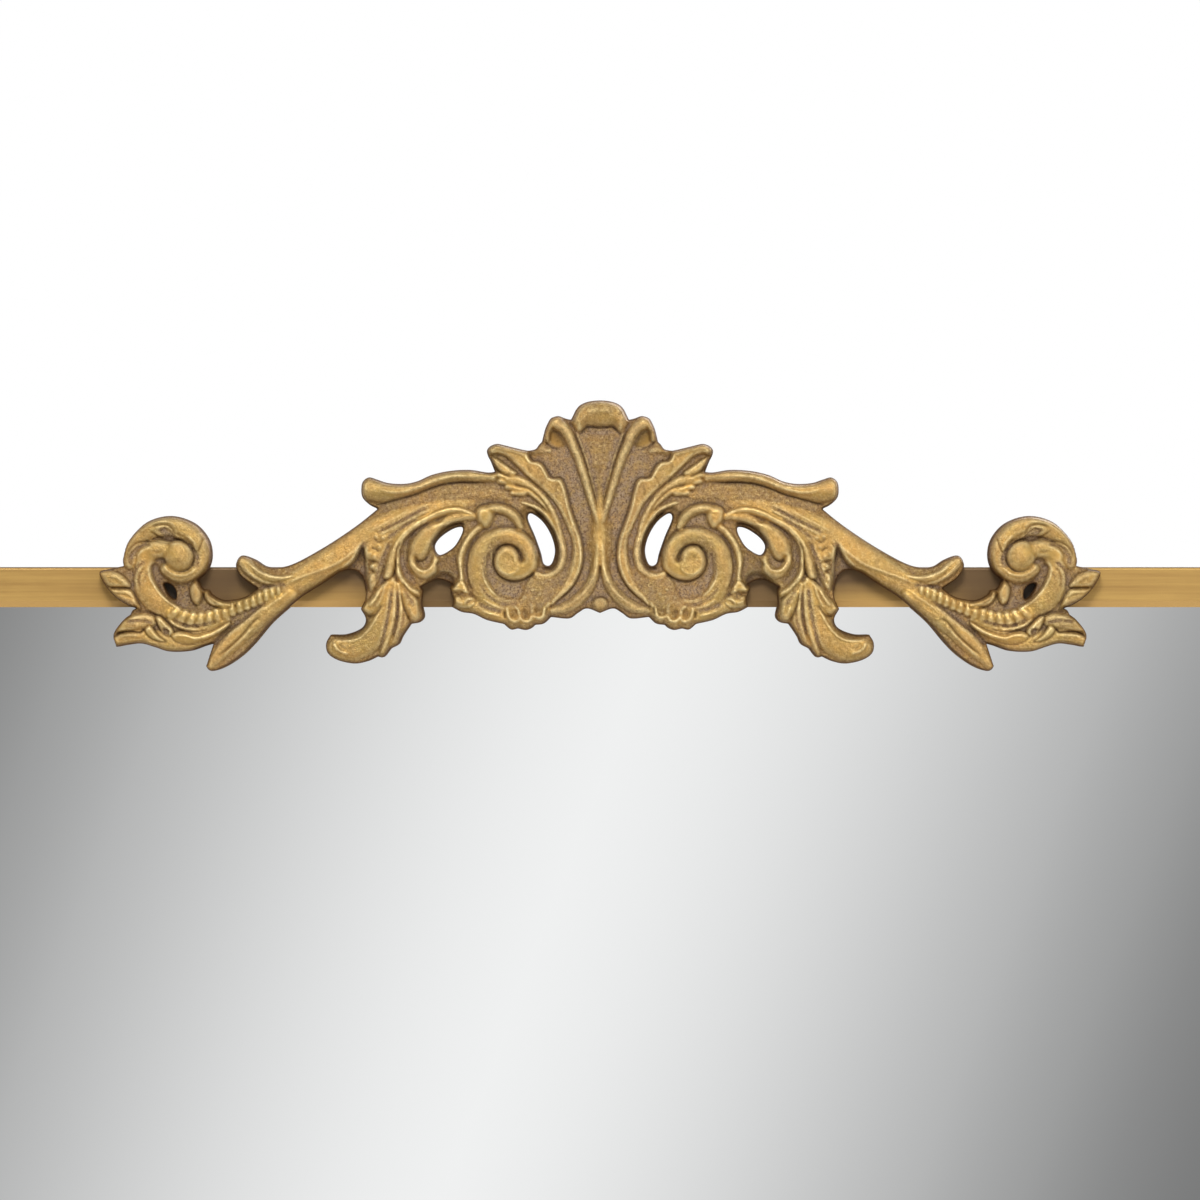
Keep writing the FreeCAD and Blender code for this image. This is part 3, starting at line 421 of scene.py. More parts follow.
furrow([(152.5, 528), (158, 525.5), (164, 524.6), (170.5, 526), (175, 530.5), (177.5, 536.5)], 1.3, 0.8,
       dark=0.75)
welt([(150, 525.5), (157, 522.8), (166, 521.8), (173, 523.5), (178.5, 529)], 2.0, 0.5)
furrow([(188, 543), (192, 547), (196.5, 552.5), (199, 558.5), (198.2, 564.5), (194.5, 569)], 2.4, 1.1,
       tone=1.0)
furrow([(184, 536.5), (190, 541), (195, 547), (198.5, 552), (201.5, 548), (204, 541), (204, 535)], 1.2, 0.8,
       dark=0.75)
furrow([(178, 533), (182, 535.5), (186, 537)], 1.2, 0.6, dark=0.6)
welt([(188, 535), (194, 540.5), (198.5, 546)], 2.4, 0.6)
welt([(163.5, 559), (166.5, 567.5), (173, 573.5), (182, 575.8), (192, 573.5), (199.5, 566)], 1.5, 0.7)
furrow([(153, 551), (158, 552.5), (164, 551.5)], 1.5, 0.5, dark=0.3)
hollow([(152, 567), (155.5, 562.5), (159.5, 564), (164, 573), (171, 580), (181, 583.5), (190, 583.5),
        (191.5, 590), (193.5, 599), (200, 608), (192, 610), (182, 608), (173, 603), (164, 595),
        (157, 584.5), (153, 575)], -1.6, 2.5, tone=0.85, dark=0.15)
welt([(150.5, 566), (151.5, 576), (157, 587), (165, 597), (175, 605), (186, 610)], 1.7, 0.8)
furrow([(148, 561), (140.5, 566), (136, 573), (134.8, 581), (136.5, 589)], 2.2, 1.1, tone=1.0, dark=0.1)
furrow([(147, 567), (142.3, 573), (140.5, 580), (142, 588)], 1.4, 0.8, tone=0.6, dark=0.35)
furrow([(152, 571), (147.5, 576), (146, 583)], 1.4, 0.5, tone=0.5, dark=0.2)
petal([(190.8, 588), (194, 582), (199, 580.5), (204, 585), (205, 592), (203, 600), (199, 605), (194, 602),
       (191.3, 595)], 3.7, 6.0)
petal([(204.5, 590.5), (209, 588), (214, 591.5), (219, 597.5), (226, 601), (232, 603), (231, 607.5),
       (221, 608), (211, 604.5), (206, 598.5)], 3.3, 4.0)
furrow([(209, 592), (211.5, 599), (219, 604.5)], 1.2, 0.5, tone=0.4, dark=0.3)
carved("end scroll")

# %% [markdown]
# ## Small leaf and low leaf
#
# Two leaves grow from the neck of the end scroll: a small one that points left over the rail, and a low one
# with a curled edge that hangs over the glass.

# %% Relief: small leaf and low leaf
petal([(100.5, 573), (107, 570), (118, 571.5), (127, 577), (133, 586.5), (124, 588), (112, 587.5),
       (105, 581.5)], 2.5, 4.5)
petal([(108, 588), (120, 588.3), (132, 589.5), (139, 600), (142, 609), (130, 606), (117, 598)], 2.5, 4.0)
furrow([(116, 594), (126, 595), (136, 599)], 1.4, 0.5, dark=0.3)
furrow([(122, 600), (131, 602), (138, 605)], 1.4, 0.5, tone=0.7)
welt([(111, 575.5), (119, 578), (127, 583.5)], 2.6, 0.5)
band([(118, 641), (130, 638), (146, 637), (164, 641), (182, 642), (200, 637), (216, 630), (228, 622)],
     (5.5, 8, 9.5, 11.5, 12, 11, 7, 4), (1.8, 2.4, 2.8, 2.8, 2.8, 2.6, 2.2, 1.6))
lobe([(116.5, 631), (122, 622), (131.5, 615.5), (146, 613.5), (156, 616), (158, 624), (149, 628.5),
      (138, 630), (125, 632)], 2.6, 4.0)
furrow([(127, 622), (138, 620.5), (147, 621), (156, 623.5)], 2.2, 1.0, tone=1.0, dark=0.1)
furrow([(126, 627.5), (136, 626.3), (145, 626.8)], 1.2, 0.4, tone=0.5)
furrow([(115.5, 636), (124, 632), (134, 631.4), (142.5, 632), (146, 627)], 1.5, 1.2, dark=0.95,
       ends=(0, 0.1))
welt([(120, 636.5), (130, 635), (141, 635.5)], 2.2, 0.5)
petal([(146, 629.5), (148.5, 626), (152.5, 625.5), (158, 632), (163, 637.5), (168, 642), (161, 641.5),
       (154, 639), (148.5, 634.5)], 3.8, 3.5, foot=1.2, dark=0.85)
petal([(156.5, 616.5), (161, 615), (165.5, 618.5), (171, 624), (175, 629.5), (175.5, 634), (169.5, 636.5),
       (163, 631.5), (158.5, 624)], 3.7, 3.5, dark=0.85)
welt([(160, 618.5), (165, 623), (171, 630.5)], 1.8, 0.5)
hollow([(163, 629), (167, 627.5), (171.5, 630.5), (170.5, 635.5), (166, 634.5)], 0.8, 1.8, tone=1.0,
       dark=0.1)
petal([(171.5, 635.5), (178, 631), (187, 631), (196, 634), (206, 632.5), (216, 629), (231, 621.5),
       (229, 627.5), (216, 636), (203, 642), (190, 644.5), (178, 642)], 3.4, 4.5, dark=0.8)
welt([(177, 635), (187, 635.5), (197, 638), (208, 635.5)], 2.2, 0.5)
band([(170, 619.5), (178, 625.3), (188, 628.5), (200, 628.6), (214, 625.4), (230, 619)], 2.0, 2.4,
     profile=dome)
furrow([(173, 616.5), (182, 622.5), (192, 625.3), (206, 624), (222, 619.5)], 1.6, 0.8, tone=0.9, dark=0.2)
furrow([(176, 629), (186, 631), (199, 631.3), (212, 628.5)], 1.2, 0.7, tone=0.3, dark=0.7)
furrow([(133, 611.5), (142, 611.5), (150, 612), (157, 614.5), (166, 617)], 1.6, 1.0, tone=0.6, dark=0.6,
       ends=(0, 0.2))
carved("small leaf and low leaf")

# %% [markdown]
# ## Side leaf, S-scroll and the rim of the tall opening
#
# From the palmette's foot an S-shaped scroll rises and opens into a broad leaf with a wavy edge. Below its
# vein two narrower leaves overlap, and a thin rim follows the tall opening.

# %% Relief: side leaf and S-scroll
WAVY_EDGE = ((528, 452), (530, 458), (533, 461.5), (538, 462), (543, 465), (547, 471), (550, 477),
             (554, 478.5), (560, 478.5), (564, 483), (567, 492), (569.5, 503), (573, 515), (577, 526),
             (581, 537), (583, 548), (583.5, 558), (581.5, 569), (577, 580), (570, 590), (560, 599),
             (551, 606))
VEIN_EDGE = ((553, 597), (562, 585), (568, 572), (571, 560), (572, 548), (571, 538), (567, 528), (562, 517),
             (557, 507), (550, 498), (542, 490), (534, 483), (527, 477), (520, 470), (513, 463), (506, 457),
             (498, 454.5), (491, 455))
lobe([(538, 574), (546, 577), (557, 575), (566, 566), (573, 553), (580, 557), (578, 574), (570, 588),
      (558, 600), (546, 608), (532, 611), (520, 609), (514, 603), (520, 597), (523.5, 591), (525.5, 584),
      (530, 577)], 2.4, 7.0, gold=0.5)
lobe(((489, 449), (498, 445), (510, 447), (522, 450)) + WAVY_EDGE + VEIN_EDGE, 3.7, 3.6)
edge = np.array(WAVY_EDGE)
welt(edge + (-2.2, 1.4), 2.0, 0.7, ends=(0.03, 0.1))
furrow(edge + (0.9, -0.6), 1.3, 0.7, dark=0.85, ends=(0.02, 0.1))
welt([(490, 450.5), (498, 447.8), (510, 450.5), (521, 454), (528, 459)], 2.2, 0.6)
for fold in (((527, 465), (529, 470), (532, 475)), ((546, 476), (543, 481), (540, 487)),
             ((557, 483), (556, 490), (555, 497))):
    furrow(fold, 1.6, 0.5, dark=0.3)
furrow([(572, 538), (572.5, 550), (570, 563), (564, 577), (553, 591)], 5.0, 0.6, tone=0.4, dark=0.1)
petal([(492, 457), (497.5, 458.5), (504, 463), (511, 468), (518, 473.5), (513, 477), (505, 475.5),
       (498, 471), (493.5, 464)], 3.0, 3.2, dark=0.6)
band([(508, 479.5), (519, 481.5), (529, 486.5), (538, 493.5), (546, 502.5), (553, 513.5), (558, 525),
      (561, 538)], (5.8, 5.6, 5, 4.6, 4.2, 3.8, 3.4, 2.4), (3.3, 3.3, 3.1, 3, 2.9, 2.8))
band([(516, 489.5), (528, 491), (536.5, 497), (544.5, 505), (551, 514.5), (556, 525), (559.5, 538)],
     (4.2, 4.4, 4, 3.4, 3, 2.6, 2), (3, 3, 2.8, 2.6, 2.4))
for ragged_end in (((498.5, 475.5), (503, 476.5), (509, 479)), ((500.5, 481.3), (505.5, 482), (512, 483.5)),
                   ((508, 487.3), (513, 488), (519, 489.5)), ((513, 493), (519, 493), (525, 493))):
    band(ragged_end, (3.4, 4, 3.4), 3.1)
    furrow(np.array(ragged_end) + (-0.5, 3.4), 1.1, 0.5, dark=0.4, ends=(0, 0.6))
furrow([(512, 485.3), (522, 486.6), (531, 490.3), (539, 497.3), (546.5, 506.3), (552, 517)], 1.2, 0.8,
       dark=0.65)
furrow([(523, 494), (530, 496), (537, 501.3), (545, 509.3), (552, 519.3), (557, 530)], 1.2, 0.6, dark=0.65)
furrow([(494, 465), (499, 471.5), (505, 475), (512, 477)], 1.4, 0.7, dark=0.8)
band([(523, 503), (531, 505.5), (540, 510), (549, 518), (556, 528), (561, 540), (563.2, 553),
      (561.2, 565.5), (554.5, 573.5), (545, 576.3), (536, 574)],
     (1.5, 2.6, 3, 3.4, 3.8, 4, 4, 4, 3.8, 3.4, 3), (1.8, 2.4, 2.6, 2.6, 2.8, 3, 3, 2.9, 2.8, 2.6))
hollow([(519, 513), (526, 506.5), (534, 508), (545, 515.5), (541, 519.5), (533, 512), (529, 514),
        (527, 519), (529, 527), (524, 522)], -0.8, 2.0, tone=0.5, dark=0.5)
furrow([(531, 511.5), (537, 513.5), (544.5, 520), (552.5, 532), (556.8, 546), (556.3, 558), (552.5, 567),
        (547, 568.5), (541.5, 567)], (1.8, 2.2, 2.4, 2.6, 2.8, 2.8, 2.6, 2.2), 2.4, dark=0.9,
       ends=(0.1, 0.05))
welt([(534, 575), (540, 578.5), (547, 579.5), (554, 577.5)], 1.6, 0.8)
carved("side leaf and S-scroll")

# %% [markdown]
# ## Volute, hood and skirt
#
# The large volute is one flat band that winds in from below to a low round eye. Its band slopes down to a
# dark spiral line, so the winding reads even from afar. A small hood arches over it, a thin rim goes round
# its left, and a scalloped skirt hangs from its foot.

# %% Relief: volute
SPIRAL = ((537, 569), (531.5, 575.2), (523.7, 579.4), (516, 581.1), (508.3, 580.4), (500.6, 576.5),
          (495.1, 569.6), (493.6, 561), (495.9, 552.6), (501.3, 546.4), (508.3, 544.8), (514.5, 547),
          (519, 552.6), (521.9, 560))
band([(482, 526), (474, 532.5), (466.5, 542.5), (462, 553), (460.3, 563), (460.5, 573), (462.5, 583),
      (467, 592)], 3.8, 2.6, profile=dome)
band([(486, 596), (497, 603), (509, 606), (523, 604.5)], (6, 6.5, 6.5, 5), 2.2, gold=0.7)
band([(500, 611), (489, 600), (481, 586), (479, 572), (480.5, 561), (484, 549), (493, 540), (507, 536),
      (520, 540), (528, 549), (530.5, 560), (526.5, 570), (519, 575.5), (510, 577)],
     (9, 10, 11, 12, 12.5, 12, 10.5, 9, 9, 8.5, 8, 7.5, 6, 3.5),
     (2.2, 2.6, 3, 3.4, 3.8, 4, 4.2, 4.2, 4.2, 4.2, 4.2, 4.2, 3.8, 3.2))
furrow([(510, 540), (500, 541.5), (492, 548), (488, 558), (486, 570), (490, 582)], 6.5, 1.1, tone=0.55,
       ends=(0.3, 0.1))
lobe(SPIRAL + ((530, 553), (538, 560)), 4.2, 6.0)
furrow([(503, 560), (509, 559), (515, 561)], 6.0, 0.4)
welt([(497.5, 565), (501.5, 571.5), (509, 574.5), (516.5, 571.5), (520, 564.5)], 2.4, 0.5)
hollow([(488.5, 552), (492, 555), (492.5, 562), (493.5, 571), (498.5, 578.5), (506, 583), (514, 584.5),
        (521, 582.5), (523, 589), (521.5, 597), (513.5, 598.5), (502, 596), (494, 590.5), (488.5, 582.5),
        (486, 573), (486, 561)], 0.2, 2.4, tone=1.0)
furrow(SPIRAL + ((520.5, 565.5), (515.5, 569.5), (509, 570.5)), (1.6, 1.6, 1.5, 1.4, 1.3, 1.2),
       (1.0, 1.1, 1.0, 0.8, 0.5, 0.3), dark=0.7, ends=(0.05, 0.25))
welt([(484, 562), (483.5, 572), (486, 582), (491.5, 590.5), (499, 596.5), (508, 599.8), (520, 599)], 1.7,
     1.0, ends=(0.3, 0.1))
furrow([(479.5, 578), (483, 588), (489.5, 596.5), (498, 602), (508, 604.5), (520, 603.5)], 1.9, 0.8,
       tone=0.95, dark=0.05, ends=(0.3, 0.1))
furrow([(484, 531), (475, 540), (469.5, 550), (467.2, 561), (467.5, 572), (470, 583), (475, 594)], 1.5, 0.8,
       tone=0.6, dark=0.65)
furrow([(489, 529.8), (500, 526.6), (511, 526.6), (522, 529.8), (531, 536.8), (537.3, 547), (539.6, 558),
        (538, 568)], 1.2, 0.6, dark=0.75)
furrow([(526.5, 514), (528, 521), (534, 535), (540, 553), (542.5, 563)], 1.6, 1.0, dark=0.8)
carved("volute")

# %% [markdown]
# The hood over the volute is a small round moulding that starts in a knob. Under it the ground is pressed
# down and glazed, so that the arch stands free of the band below.

# %% Relief: hood
band([(486, 510.5), (495, 509), (504, 510), (511, 513.5), (516.5, 519), (520.5, 527)], (5, 5, 5, 5, 4.8, 4),
     (3.9, 3.9, 3.9, 3.6, 3.2, 2.6), profile=dome)
hollow([(495.5, 517), (501, 515.8), (508, 517.8), (512.5, 522), (515, 528), (507, 529), (500, 529),
        (495, 524)], 0.3, 1.8, tone=0.95)
lobe([(475.5, 513), (478.5, 507.5), (485, 505.5), (491.5, 508), (494.5, 514), (493, 521), (489.5, 527.5),
      (485, 529), (480.5, 526), (476.5, 520)], 4.6, 6.0)
furrow([(474, 518), (475.5, 510), (483.5, 504.4), (495, 502.6), (505, 503.8), (514, 507.5), (520.5, 514),
        (525.5, 522), (526, 529)], 1.2, 0.5, dark=0.75)
carved("hood")

# %% [markdown]
# The skirt under the volute ends in scallops. Each is a shallow cup behind one wavy rim, and short raised
# strokes run up between them like folds of cloth.

# %% Relief: skirt
band([(469, 601), (478, 608.5), (489, 613.5), (503, 618)], (6, 6.5, 6.5, 5.5), (2.4, 2.6, 2.6, 2.4))
furrow([(478, 603.5), (489, 608), (503.5, 612.5)], 2.6, 0.8, tone=0.95)
welt([(483, 599), (492, 604.5), (500, 607.5), (507, 609.5)], 1.5, 0.8)
welt([(480, 609.5), (490, 613.5), (502, 616.5)], 1.6, 0.6)
petal([(450, 589.5), (455, 584.5), (461.5, 580.5), (466, 583), (469, 590.5), (462, 592.3), (457, 592.5),
       (453, 592.5)], 2.8, 3.5, dark=0.4)
petal([(453.5, 596), (459, 595), (467, 594), (474, 597), (476, 603), (470, 608.5), (461, 608.5),
       (454, 605)], 2.6, 4.0, dark=0.2)
hollow([(458, 594.5), (463, 593.5), (468, 593), (468.5, 597), (463, 600), (459.5, 597.5)], 1.2, 1.6,
       tone=0.5, dark=0.15)
welt([(450.5, 589), (455, 585), (461, 581.2)], 1.5, 0.8)
welt([(455.5, 592), (459, 593), (464, 592), (469, 590.8)], 1.5, 1.0)
welt([(456, 600.5), (460, 602.5), (464, 603.5)], 1.5, 0.8)
furrow([(467.5, 605), (468.5, 602), (473, 600)], 1.3, 0.6, tone=0.6, dark=0.2)
welt([(465.5, 605.5), (466, 602), (470, 599), (474.5, 598.5), (477, 601.5)], 1.3, 1.0)
welt([(468.5, 607.5), (472.5, 605), (476, 602)], 1.2, 0.7)
lobe([(503, 611), (511, 605), (525, 603), (540, 604), (550, 607), (550, 614), (543, 621), (535, 623.5),
      (527, 627), (518, 626), (511, 626.5), (504, 620)], 2.2, 6.0, gold=0.75)
hollow([(510.5, 611), (515, 608.5), (518.5, 611.5), (518, 616), (516, 619), (513, 618.8), (510.8, 616)],
       1.2, 2.2, tone=0.35, dark=0.1)
hollow([(521.5, 612), (525, 608.5), (529, 611.5), (529.3, 617), (527, 619.4), (523.5, 618.5)], 1.0, 2.2,
       tone=0.3, dark=0.22)
hollow([(535, 610), (539, 607.5), (543, 609), (542.3, 614.3), (538.8, 616), (535.2, 614)], 1.3, 2.2,
       tone=0.3, dark=0.1)
band([(507.5, 609), (509, 617), (513.5, 621.3), (518.5, 620.6), (520, 617.5), (522, 619.7), (526, 621.5),
      (530, 620.3), (533, 616.3), (538.5, 618), (543, 616), (544.5, 610), (549, 603.5)], 2.5, 3.2,
     profile=dome)
welt([(513, 605), (518, 609), (520, 616)], 2.2, 1.0, ends=(0.4, 0.2))
welt([(529, 600), (532, 606.5), (532, 615)], 2.8, 1.1, ends=(0.4, 0.2))
furrow([(505, 611), (505, 616), (505.5, 619)], 1.3, 1.0, dark=0.9)
furrow([(546.5, 606), (546.5, 611), (545.5, 615)], 1.4, 0.8, dark=0.7)
for lump in ((516, 599.5), (525, 597.5), (532.5, 598.5), (540, 594), (533, 590)):
    welt([(lump[0] - 2, lump[1] + 1.2), lump, (lump[0] + 2.2, lump[1] - 1)], 2.4, 0.7)
carved("skirt")

# %% [markdown]
# ## Leaf drop, comma curl and hook
#
# A leaf falls over the rail and the glass from the middle of the crest. Its rib comes down from the stem
# with a curl shaped like a comma beside it, then opens in a fan of pleats and ends in a smooth hook.

# %% Relief: comma curl and rib
band([(474, 516.5), (460, 517), (448, 521), (438, 527)], (4, 5, 5, 4), 2.6)
lobe([(440, 521), (448, 522), (441, 532), (435, 543), (430, 552), (425, 559.5), (419, 560.5),
      (415.5, 558.5), (410.5, 560), (409.3, 550), (412.5, 540), (420, 530.5), (430, 523)], 4.0, 6.5)
band([(412.5, 556), (413.5, 565), (418.5, 571.5), (425.5, 574), (432.5, 570), (435.8, 562), (436, 557)],
     (4, 4.8, 5.4, 5.4, 5, 4.4, 3.4), (3.4, 3.2, 3, 3, 2.8, 2.4, 2), profile=dome)
hollow([(415.5, 561.5), (419, 563), (424, 561.5), (429.5, 557.5), (432, 560), (429, 565), (424, 567.5),
        (418.5, 566.2)], 1.2, 1.8, tone=0.8, dark=0.05)
furrow([(414.5, 559.5), (418.5, 561.8), (424, 560.5), (429, 556)], 1.2, 0.5, dark=0.8)
welt([(413.5, 563), (418, 569), (424, 571), (430.5, 568.3), (433.5, 562)], 1.5, 0.8)
furrow([(434, 520.5), (420, 528), (409, 537), (403.5, 546), (402.2, 556), (405, 568), (412, 579.5),
        (420, 587)], (2.6, 3, 3.4, 3.4, 2.8), 1.8, tone=1.0, ends=(0.1, 0.15))
furrow([(428, 523), (416, 531), (409.5, 540), (407.3, 550), (408.5, 561), (413, 571), (420, 577.5)], 1.1,
       0.5, dark=0.7)
furrow([(433, 549), (435, 541), (440.5, 534.5), (450, 527), (460.5, 524), (466, 527.5)], 2.5, 2.0,
       dark=0.85, ends=(0.1, 0.1))
hollow([(436, 563), (442, 557.5), (450, 553), (457, 545), (459, 560), (461, 578), (452, 583), (440, 578),
        (428, 585), (422, 583), (430, 578), (437, 571)], -0.9, 3.0, tone=0.7, dark=0.3)
band([(472, 514), (458, 510), (443, 512), (428, 518.5), (413, 527), (403, 536), (396.5, 547), (393, 558),
      (391, 567), (388.5, 576)], (2.5, 4.5, 5, 4.6, 4.4, 4.4, 4.6, 5.6, 6.2, 5),
     (2.6, 3.4, 3.8, 4, 4, 4, 4, 4.2, 4.4), profile=dome)
band([(405, 537.5), (399.3, 548), (398.2, 562), (400, 575), (408.5, 587.5), (421, 595)],
     (1.6, 2.2, 2.6, 3.6, 4.4, 3.8), (2.8, 3.2, 3.6, 3.8, 3.4, 2.8), profile=dome)
carved("comma curl and rib")

# %% [markdown]
# Below the curl the leaf is pleated. Lobes with notched edges overlap, long furrows part the pleats, and small
# raised strokes roughen the ragged edge. The hook is one broad band with a fine raised line along its inside.

# %% Relief: pleats, fan and hook
# Painted shade: the two webs beside the leaf lie deep, and the right one is darkened to run on into the shadow
# on the rail.
hollow([(334, 579), (345, 568.5), (353, 561), (358.5, 552), (364, 546), (367, 556), (367.5, 567),
        (368, 578), (370, 589), (364, 594), (359, 580), (352, 577), (344, 577)], -5.5, 3.0, tone=0.75,
       dark=0.05)
hollow([(420, 590), (428, 579), (436, 572.5), (444, 570), (452, 572), (457, 580), (455, 589), (445, 588),
        (436, 587), (428, 590)], -5.0, 6.0, tone=0.7, dark=0.5)
furrow([(369, 539.5), (361.8, 549), (361, 560), (365.8, 569.5), (364, 582), (367, 590)], 3.0, 1.4, tone=1.0,
       dark=0.05)
furrow([(371.5, 540), (365.5, 549), (364.5, 557), (368, 562.5), (369.5, 568.5), (367.5, 577)], 1.1, 0.5,
       dark=0.7)
lobe([(372, 535), (379, 532.5), (388, 535), (391, 545), (388, 556), (384, 568), (379, 582), (373, 592),
      (369.5, 587), (368, 579), (370, 574), (373.5, 571.5), (369.5, 567.5), (371.5, 563.5), (374.5, 561.5),
      (368, 559.5), (366, 555), (368.5, 550.5), (373.5, 548.5), (371, 542)], 2.9, 3.6, gold=0.9)
for fold in (((373.5, 548.5), (377, 549.5), (380, 553)), ((374.5, 561.5), (378, 562), (380.5, 565)),
             ((373.5, 571.5), (376, 573), (377, 577)), ((375.5, 539.5), (379.5, 542.5), (385, 541))):
    furrow(fold, 1.5, 0.9, tone=0.3, dark=0.5, ends=(0, 0.35))
for lump in ((377, 537), (384, 538), (371, 554), (375.5, 556.5), (381, 547.5), (373, 566.5), (378, 569),
             (372.5, 579.5), (375, 585)):
    welt([(lump[0] - 1.6, lump[1] - 1.4), lump, (lump[0] + 1.8, lump[1] + 1)], 2.6, 0.55)
furrow([(390, 541), (386.5, 552), (382.5, 562), (379.5, 571), (376, 583)], 1.9, 1.0, tone=1.0, dark=0.1)
lobe([(390, 577.5), (384, 582), (376, 590), (370, 598), (362.5, 604), (361, 609), (365, 613.5), (372, 616),
      (379, 611), (385, 602), (389, 592), (393, 583)], 3.7, 5.0)
band([(393, 580), (390, 593), (386, 607), (381, 622), (373, 636), (362, 645.5), (350, 649.5), (338, 648)],
     (4, 7, 10, 12, 13.5, 13.5, 12.5, 10.5), (3.6, 3.8, 4, 4, 3.8, 3.4, 3, 2.6))
band([(396, 583), (395, 602), (393, 618), (388.5, 638), (383.5, 652)], (3, 3.8, 4.2, 4.2, 3.6),
     (3.8, 3.6, 3.4, 3, 2.4), profile=dome)
band([(403, 602), (406, 618), (404, 630)], (3, 4, 3.5), (2.8, 2.6, 2.2), profile=dome)
band([(399, 584), (402, 602), (402, 618), (398, 634), (393, 645)], (2.8, 4, 4.4, 4.2, 3.4),
     (3.6, 3.4, 3, 2.6, 2.2), profile=dome)
lobe([(400, 580), (405, 588), (411, 590), (418, 597), (421, 606), (421, 616), (418, 621), (412, 621.5),
      (407.5, 614.5), (403, 604), (400.5, 592)], 3.5, 4.5)
furrow([(402, 540), (397.6, 551), (396.6, 563), (395, 573.5), (391, 578.5), (385, 581), (380, 587)], 1.2,
       0.9, dark=0.85, ends=(0.1, 0.1))
welt([(381, 590), (375.5, 599.5), (369, 607.5)], 2.2, 0.6)
welt([(386.5, 587), (382, 599), (377, 609)], 2.2, 0.6)
welt([(410, 606), (413, 613), (417, 618)], 2.2, 0.5)
furrow([(384, 588), (379, 599), (373, 608)], 1.4, 0.5, tone=0.3, dark=0.3)
furrow([(367, 617), (376, 614.5), (383.5, 604)], 1.6, 0.8, dark=0.65)
furrow([(392.5, 584), (391.5, 600), (388.5, 618), (384.5, 636), (379, 653)], 2.0, 1.1, tone=1.0, dark=0.1)
furrow([(398, 588), (398.6, 606), (397.3, 622), (393, 638)], 1.6, 0.9, tone=1.0, dark=0.05)
furrow([(404, 604), (404.5, 616), (401, 630), (396, 641)], 1.4, 0.7, tone=0.9)
furrow([(401.5, 592), (404, 605), (408, 616), (411, 621)], 1.3, 0.9, dark=0.85)
furrow([(405, 590), (411.5, 600), (416, 607)], 2.2, 0.6, tone=0.8)
furrow([(403, 581.5), (409, 590.5), (416, 596.5), (422, 599.5)], 1.2, 0.7, dark=0.75)
furrow([(331, 635.5), (347, 635.5), (358, 632), (366, 625), (369, 617)], (1.6, 2.4, 2.8, 2.8, 2), 0.9,
       dark=0.85, ends=(0.1, 0.1))
welt([(336, 640), (344, 640.6), (353, 640.3), (361, 637.6), (368, 631.3), (374, 623.3), (378.5, 614.3),
      (381.5, 606)], 1.9, 0.8)
welt([(334.5, 641), (337, 647.5), (342.5, 651.8), (351, 654)], 2.0, 0.9)
furrow([(340, 642.5), (341.5, 647), (347, 649.3)], 2.0, 0.6)
carved("pleats, fan and hook")

# %% [markdown]
# ## Palmette
#
# The middle of the crest: a rolled cap, a rib on each side that curls over a small cup, a sandy field, and a
# trunk that splits into two legs round a half-round bead. It is carved last, because it lies over the rest.

# %% Relief: palmette
band([(600, 432), (600, 470), (600, 505)], (20, 13, 4), 0.6, gold=0.65)
furrow([(583, 434), (588, 452), (593, 474), (598, 498)], 4.0, 0.5, tone=0.9)
furrow([(584, 431), (592, 433), (602, 433)], 4.0, 0.5, tone=0.9, ends=(0.1, 0))
band([(534, 452.5), (541, 450.5), (549, 451.5)], (2.5, 4, 3), 1.6, gold=0.8)
band([(572, 421), (577, 434), (582, 448), (587, 463), (592, 482), (597, 505)], 1.8, 1.7, gold=0.5,
     profile=dome)
band([(556, 424), (563, 428), (569, 436), (572.5, 445), (577, 455), (581, 466), (585, 478), (588.5, 490),
      (592.5, 503), (596.5, 516), (599, 528), (600, 540)], (6.5, 6, 5.2, 5, 4.8, 4.6, 4.4, 4.4, 4.6, 5),
     (4.6, 4.8, 4.8, 4.5, 4.2, 4, 4), profile=dome)
band([(547, 440), (547.5, 432), (551, 425), (557, 422)], (3, 3.6, 5, 6), (2.6, 3.4, 4.2, 4.6), profile=dome)
# Painted shade darkens the small cup under the rib's head.
hollow([(549.5, 434), (552.5, 430), (557, 430.5), (562, 435.5), (565, 441), (567, 447.5), (560, 449),
        (553, 447.5), (548.5, 442)], 1.5, 3.0, tone=0.0, dark=0.45)
furrow([(545, 441), (548.5, 445.5), (553.5, 448.3), (560, 450)], 1.4, 0.8, dark=0.8)
furrow([(571, 427), (576, 438), (581, 450), (585.5, 463), (590, 479), (594, 494), (598, 508)], 1.3, 0.8,
       dark=0.7)
lobe([(571, 421), (574.5, 411), (581, 404.5), (590, 401.5), (600, 400.5), (612, 400.5), (612, 426.5),
      (600, 426.5), (590, 426), (585.5, 427), (582.5, 431), (579, 433), (575, 429)], 6.0, 12.0, foot=1.2,
     swell=0.55)
furrow([(580.5, 434.5), (584, 430.5), (587.5, 427.8), (593, 428), (600, 428.4)], 1.6, 1.0, dark=0.8,
       ends=(0.15, 0))
welt([(584, 414), (592, 411.5), (600, 411), (612, 411)], 5.0, 0.9, ends=(0.3, 0))
band([(600, 488), (600, 506), (600, 524), (600, 545), (600, 566)], (3, 8, 13, 15, 12),
     (0.8, 3.4, 4.4, 4.4, 3.6), foot=0, profile=bell)
band([(598, 546), (597, 562), (594.5, 575), (589, 587), (580, 598), (568, 606.5), (553, 611)],
     (4.6, 5, 5.4, 6, 6.6, 6.2, 4), (4.6, 4.5, 4.3, 4.1, 3.8, 3.4, 2.6), profile=dome)
welt([(597.5, 556), (596.5, 568), (592.5, 580), (586, 590), (577, 599), (565, 606.5)], 1.8, 0.5)
hollow([(599, 566), (604, 566), (608, 596), (600, 599), (593, 597), (595, 585), (597.5, 575)], 0.4, 2.2,
       tone=0.9)
